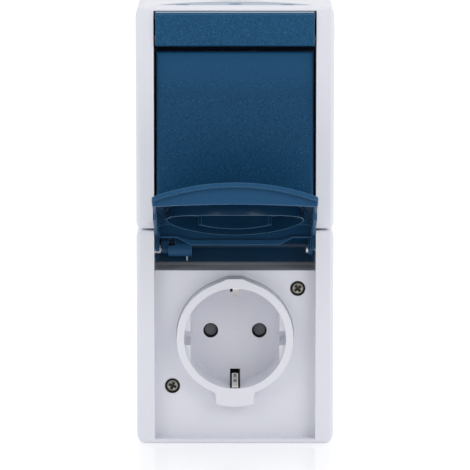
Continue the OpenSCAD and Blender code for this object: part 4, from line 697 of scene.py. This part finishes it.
class OBJECT_OT_earth_strip(bpy.types.Operator):
    """Makes the earth strip with its two folded side clips and its screw tongue"""

    bl_idname = "object.socket_earth_strip"
    bl_label = "Earth strip"

    def execute(self, context):
        s, f = context.scene.socket_finishes, context.scene.socket_fine
        low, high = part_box("earth_bow")
        middle = (low[2] + high[2]) / 2
        # The folds lie at the front of the solid's box, and the base run at its back.
        rows, sunk = self.ribbon(f, middle, -low[1], -high[1])
        plate = self.tongue(f, low[0], middle, high[1])
        # Painted shade: the strip darkens beyond the bright depth and in the pressed pocket.
        fade, pocket_share = 1.5 * MM, 0.88
        under = np.maximum(np.clip((rows[..., 1] + f.lit) / fade, 0, 1), pocket_share * sunk).ravel()
        # Nickel plated steel strip: pale and warm, with faint rolled lines, and painted shade where it lies
        # under the floor and in the pressed pocket.
        bright = metal("strip_nickel_plated", s.nickel, rough=0.46, stretch=(5, 1, 1), line=1.2 * MM,
                       painted_shade=(s.metal_shade, "under"), vary=0.05)
        shape = join([skin(rows), skin(plate, True)])
        marks = np.concatenate([under, [1, 1], np.ones(plate.shape[0] * plate.shape[1])])
        strip = piece("earth_strip_fine", shape, bright, under=marks)
        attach(strip, "housing")
        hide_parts("earth_bow")
        return {"FINISHED"}

    def ribbon(self, f, middle, front, back):
        """A flat strip carried along a folded line: along the base, forward beside the well, over the fold,
        in to the apex and out again, and the same below with a longer slope. The section is a rounded oblong,
        a cosine and a sine to small powers. On the lower slope a pocket is sunk as the product of two windows
        with sloping edges, with a low knob in its middle, a bell curve. The second result is how far each
        point is in the pocket."""
        sides, width_power, depth_power, change = 56, 0.35, 0.5, 4 * MM
        pocket_l, pocket_w, end_l, end_w = 0.36, 0.62, 0.25, 0.3
        knob_l, knob_w, knob_h = 0.1, 0.3, 0.8
        reach, t = f.clip_reach, f.strip_t
        fold, top = f.clip_fold, front - t / 2
        low, high = (np.array([[back + t / 2, 0], [back + t / 2, reach], [top - fold, reach],
                               [top, reach - fold], [top - fold, reach - 2 * fold], [top - depth, f.apex],
                               [top - depth - f.clip_tail, reach - 3 * fold]])
                     for depth in (f.apex_back, f.apex_near))
        line = self.rounded(np.concatenate([(low * (1, -1))[:0:-1], high]))
        along = np.gradient(line, axis=0)
        along /= np.linalg.norm(along, axis=1, keepdims=True)
        square = np.stack([-along[:, 1], along[:, 0]], -1)
        angle = np.linspace(0, 2 * np.pi, sides, endpoint=False)
        across = np.sign(np.cos(angle)) * np.abs(np.cos(angle)) ** width_power
        out = np.sign(np.sin(angle)) * np.abs(np.sin(angle)) ** depth_power
        above = np.clip(line[:, 1:] / change, -1, 1) * 0.5 + 0.5
        half = f.clip_low * (1 - above) + f.clip_high * above
        slope = np.clip((np.abs(line[:, 1:]) - f.apex) / (reach - 2 * fold - f.apex), 0, 1) - 0.5
        lies = (line[:, :1] > top - f.apex_back) & (np.abs(line[:, 1:]) < reach - 2 * fold)
        inner = (out[None] > 0) * lies * (1 - above)
        window = np.clip((1 - np.abs(slope / pocket_l)) / end_l, 0, 1) * inner
        window = window * np.clip((1 - np.abs(across[None] / pocket_w)) / end_w, 0, 1)
        knob = np.exp(-(slope / knob_l) ** 2 - (across[None] / knob_w) ** 2) * inner
        lift = out[None] * t / 2 - f.pocket * (window - knob_h * knob)
        place = line[:, None] + lift[..., None] * square[:, None]
        x = f.clip_shift * above + half * across[None]
        rows = np.stack([x, -place[..., 0], middle + place[..., 1]], -1)
        return rows, np.clip(window - knob, 0, 1)

    def rounded(self, line):
        """A line of points with its corners cut three times at a quarter of each side, then spaced evenly."""
        cuts, count = 3, 420
        for _ in range(cuts):
            near, far = 0.75 * line[:-1] + 0.25 * line[1:], 0.25 * line[:-1] + 0.75 * line[1:]
            line = np.concatenate([line[:1], np.stack([near, far], 1).reshape(-1, 2), line[-1:]])
        run = np.concatenate([[0], np.cumsum(np.linalg.norm(np.diff(line, axis=0), axis=1))])
        even = np.linspace(0, run[-1], count)
        return np.stack([np.interp(even, run, line[:, 0]), np.interp(even, run, line[:, 1])], -1)

    def tongue(self, f, left, middle, back):
        """A flat plate with a round hole, as rings closed both ways: for each angle the outline of an oblong,
        near and far, and then the hole, far and near."""
        half, hole, t, sides = f.tongue_half, f.tongue_hole, f.strip_t, 64
        angle = np.linspace(0, 2 * np.pi, sides, endpoint=False)
        cos, sin = np.cos(angle), np.sin(angle)
        reach = 1 / np.maximum(np.abs(cos), np.abs(sin))
        stretch = np.where(cos > 0, -left - half, half)
        x, z = np.clip(reach * cos, -1, 1) * stretch, np.clip(reach * sin, -1, 1) * half
        u, v = hole * cos, hole * sin
        rims = [(x, z, back - t), (x, z, back), (u, v, back), (u, v, back - t)]
        low = middle - f.tongue_drop
        return np.stack([np.stack([left + half + x, y + 0 * x, low + z], -1) for x, z, y in rims])


class OBJECT_OT_pin_shade_funnels(bpy.types.Operator):
    """Makes a dark funnel of painted shade in each pin hole"""

    bl_idname = "object.socket_pin_linings"
    bl_label = "Pin shade funnels"

    def execute(self, context):
        s, f = context.scene.socket_finishes, context.scene.socket_fine
        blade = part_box("shutter")
        middle = (blade[0][2] + blade[1][2]) / 2
        rings = [skin(self.funnel(f, side * f.pin_x, middle, blade[0][1]), True) for side in (-1, 1)]
        # Painted shade: a dark funnel, smooth like the shutter behind it but deeper in tone, darkens each
        # hole.
        pin_shade = moulded("dark_shade_funnel", s.pin_shade, rough=0.45, gloss=0.3, speck=0.06, grain=0.5 * MM,
                         bump=0.1, edge=0.1 * MM, rim=s.pin_shade)
        funnels = piece("pin_hole_shade_funnels", join(rings), pin_shade)
        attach(funnels, "housing")
        return {"FINISHED"}

    def funnel(self, f, x, z, back):
        """A ring about a line along Y, closed both ways: a straight outside in the hole, and a round-lipped
        inside that narrows from the mouth to the throat."""
        gap, lip, lip_in, lip_back, foot = 0.05 * MM, 0.05 * MM, 0.12 * MM, 0.03 * MM, 0.1 * MM
        sides, halfway = 64, 0.55
        angle = np.linspace(0, 2 * np.pi, sides, endpoint=False)
        mouth, throat, depth = f.pin_mouth, f.pin_throat, f.pin_depth
        rim = np.array([[mouth, 0], [mouth, depth - lip], [mouth - lip, depth],
                        [mouth - lip_in, depth - lip_back], [(mouth + throat) / 2, depth * halfway],
                        [throat, foot], [throat, 0]])
        r, y = rim[::-1, :1], back - gap - rim[::-1, 1:]
        return np.stack([x + r * np.cos(angle), y + 0 * angle, z + r * np.sin(angle)], -1)


class OBJECT_OT_lid_spring(bpy.types.Operator):
    """Makes the lid's torsion spring as one smooth wire"""

    bl_idname = "object.socket_lid_spring"
    bl_label = "Lid spring"

    def execute(self, context):
        s, f = context.scene.socket_finishes, context.scene.socket_fine
        path = self.wire(f)
        # Drawn spring wire: bright, with fine lines round it.
        bright = metal("spring_wire_drawn", s.drawn, rough=0.5, stretch=(4, 1, 1), line=0.6 * MM)
        spring = piece("lid_spring_fine", skin(tube(path, f.wire, (1, 0, 0))), bright)
        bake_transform(spring)
        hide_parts("lid_spring")
        return {"FINISHED"}

    def wire(self, f):
        """A straight leg that meets the coil as a tangent, then a helix about the hinge line: the angle falls
        by one turn for each turn, the place along X moves evenly, and the last turn closes on the pin. The
        whole is turned about the hinge line by the lid's angle."""
        leg_steps, turn_steps = 12, 40
        leg = math.atan2(f.leg_back, f.leg_low)
        start = leg - math.acos(f.coil / math.hypot(f.leg_low, f.leg_back))
        turns = np.linspace(0, f.turns, turn_steps * f.turns + 1)
        angle = start - 2 * np.pi * turns
        radius = f.coil - (f.coil - f.coil_end) * np.clip(turns - (f.turns - 1), 0, 1)
        coil = np.stack([f.coil_from + (f.coil_to - f.coil_from) * turns / f.turns, radius * np.cos(angle),
                         radius * np.sin(angle)], -1)
        way = np.linspace(0, 1, leg_steps, endpoint=False)[:, None]
        tip = np.array([f.coil_from, f.leg_low, f.leg_back])
        x, y, z = (np.concatenate([tip * (1 - way) + coil[:1] * way, coil]) * (-1, -1, 1)).T
        cos, sin = math.cos(-f.opened), math.sin(-f.opened)
        return np.stack([x, cos * y - sin * z, sin * y + cos * z], -1) + np.array(f.hinge)


class OBJECT_OT_studio_stage(bpy.types.Operator):
    """Makes the floor, the lights, the room and the camera"""

    bl_idname = "object.socket_studio_stage"
    bl_label = "Studio stage"

    AIM = Vector((0, -25 * MM, -0.25 * MM))
    LAMP_SIDE = 0.9
    LAMP_PLACE = (1.1, -1.35, 0.8)
    FLOOR_HALF = 6.0
    FLOOR_ROUGH = 0.04
    VIEW_END = 50

    def execute(self, context):
        s = context.scene.socket_stage
        context.scene.view_settings.view_transform = "Standard"
        self.floor(s, CAD_BOX[0][2])
        self.room(s)
        self.lamp("right", s.right, 1)
        self.lamp("left", s.left, -1)
        self.camera(s)
        return {"FINISHED"}

    def lamp(self, name, watts, side):
        """A large square light in front, to the right or the left, that faces the object."""
        across, ahead, up = self.LAMP_PLACE
        lamp = bpy.data.lights.new(name, "AREA")
        lamp.size = self.LAMP_SIDE
        lamp.energy = watts
        holder = bpy.data.objects.new(name, lamp)
        holder.location = (side * across, ahead, up)
        holder.rotation_euler = (self.AIM - holder.location).to_track_quat("-Z", "Y").to_euler()
        bpy.context.scene.collection.objects.link(holder)

    def camera(self, s):
        """A level camera in front, a little above the object and tilted down to it."""
        view = bpy.data.cameras.new("view")
        view.sensor_width = SENSOR
        view.lens = s.focal_px * SENSOR / PICTURE_SIDE
        view.shift_y = s.drop
        view.clip_end = self.VIEW_END
        eye = bpy.data.objects.new("view", view)
        eye.location = self.AIM + s.distance * Vector((0, -math.cos(s.elevation), math.sin(s.elevation)))
        eye.rotation_euler = (math.pi / 2 - s.elevation, 0, 0)
        bpy.context.scene.collection.objects.link(eye)
        bpy.context.scene.camera = eye

    def floor(self, s, low):
        """A wide flat floor at the height of the object's lower end, glossy and whiter to the camera."""
        side = self.FLOOR_HALF
        mesh = bpy.data.meshes.new("floor")
        mesh.from_pydata([(-side, -side, low), (side, -side, low), (side, side, low), (-side, side, low)], [],
                         [(0, 1, 2, 3)])
        floor = bpy.data.objects.new("floor", mesh)
        bpy.context.scene.collection.objects.link(floor)
        material, tree, _, shader = blank("studio_floor")
        shader.inputs["Base Color"].default_value = tint(s.floor)
        shader.inputs["Roughness"].default_value = self.FLOOR_ROUGH
        shader.inputs["Emission Color"].default_value = (1, 1, 1, 1)
        ray = add(tree, "ShaderNodeLightPath")
        glow = add(tree, "ShaderNodeMath", {0: ray.outputs["Is Camera Ray"], 1: s.glow, 2: s.table},
                   operation="MULTIPLY_ADD")
        tree.links.new(glow.outputs[0], shader.inputs["Emission Strength"])
        mesh.materials.append(material)

    def room(self, s):
        """A white room that is dim straight in front of the object, and white to the camera."""
        dim_to, bright_from = -0.95, -0.45
        world = bpy.data.worlds.new("room")
        world.use_nodes = True
        tree = world.node_tree
        tree.nodes.clear()
        ray = add(tree, "ShaderNodeLightPath")
        way = add(tree, "ShaderNodeSeparateXYZ", {0: add(tree, "ShaderNodeTexCoord").outputs["Generated"]})
        strength = add(tree, "ShaderNodeMapRange", {"Value": way.outputs["Y"], "From Min": dim_to,
                                                    "From Max": bright_from, "To Min": s.fill,
                                                    "To Max": s.walls}, interpolation_type="SMOOTHSTEP")
        seen = add(tree, "ShaderNodeMath", {0: ray.outputs["Is Camera Ray"],
                                            1: ray.outputs["Is Transmission Ray"]}, operation="MAXIMUM")
        shown = add(tree, "ShaderNodeMath", {0: seen.outputs[0], 1: strength.outputs[0]}, operation="MAXIMUM")
        back = add(tree, "ShaderNodeBackground", {"Color": (1, 1, 1, 1), "Strength": shown.outputs[0]})
        add(tree, "ShaderNodeOutputWorld", {"Surface": back.outputs[0]})
        bpy.context.scene.world = world


class VIEW3D_PT_switched_socket(bpy.types.Panel):
    """Lists the settings and the steps of the switched socket"""

    bl_label = "Switched socket"
    bl_space_type = "VIEW_3D"
    bl_region_type = "UI"
    bl_category = "Socket"

    def draw(self, context):
        for group in GROUPS:
            settings = getattr(context.scene, group)
            for name in settings.__annotations__:
                self.layout.prop(settings, name)
        for step in STEPS:
            self.layout.operator(step.bl_idname)


GROUPS = {"socket_finishes": SocketFinishes, "socket_fine": SocketFine, "socket_stage": SocketStage}
STEPS = (OBJECT_OT_white_mouldings, OBJECT_OT_blue_mouldings, OBJECT_OT_inner_blocks, OBJECT_OT_rubber_pieces,
         OBJECT_OT_metal_pieces, OBJECT_OT_cover_screws, OBJECT_OT_earth_strip, OBJECT_OT_pin_shade_funnels,
         OBJECT_OT_lid_spring, OBJECT_OT_studio_stage)
CLASSES = tuple(GROUPS.values()) + STEPS + (VIEW3D_PT_switched_socket,)


def register():
    """Registers the classes and puts the settings on the scene."""
    for made in CLASSES:
        bpy.utils.register_class(made)
    for name, group in GROUPS.items():
        setattr(bpy.types.Scene, name, PointerProperty(type=group))


def unregister():
    """Takes the settings off the scene and unregisters the classes."""
    for name in GROUPS:
        delattr(bpy.types.Scene, name)
    for made in reversed(CLASSES):
        bpy.utils.unregister_class(made)


def main():
    """Runs every step in order."""
    register()
    for step in STEPS:
        group, name = step.bl_idname.split(".")
        getattr(getattr(bpy.ops, group), name)()


if __name__ == "__main__":
    main()
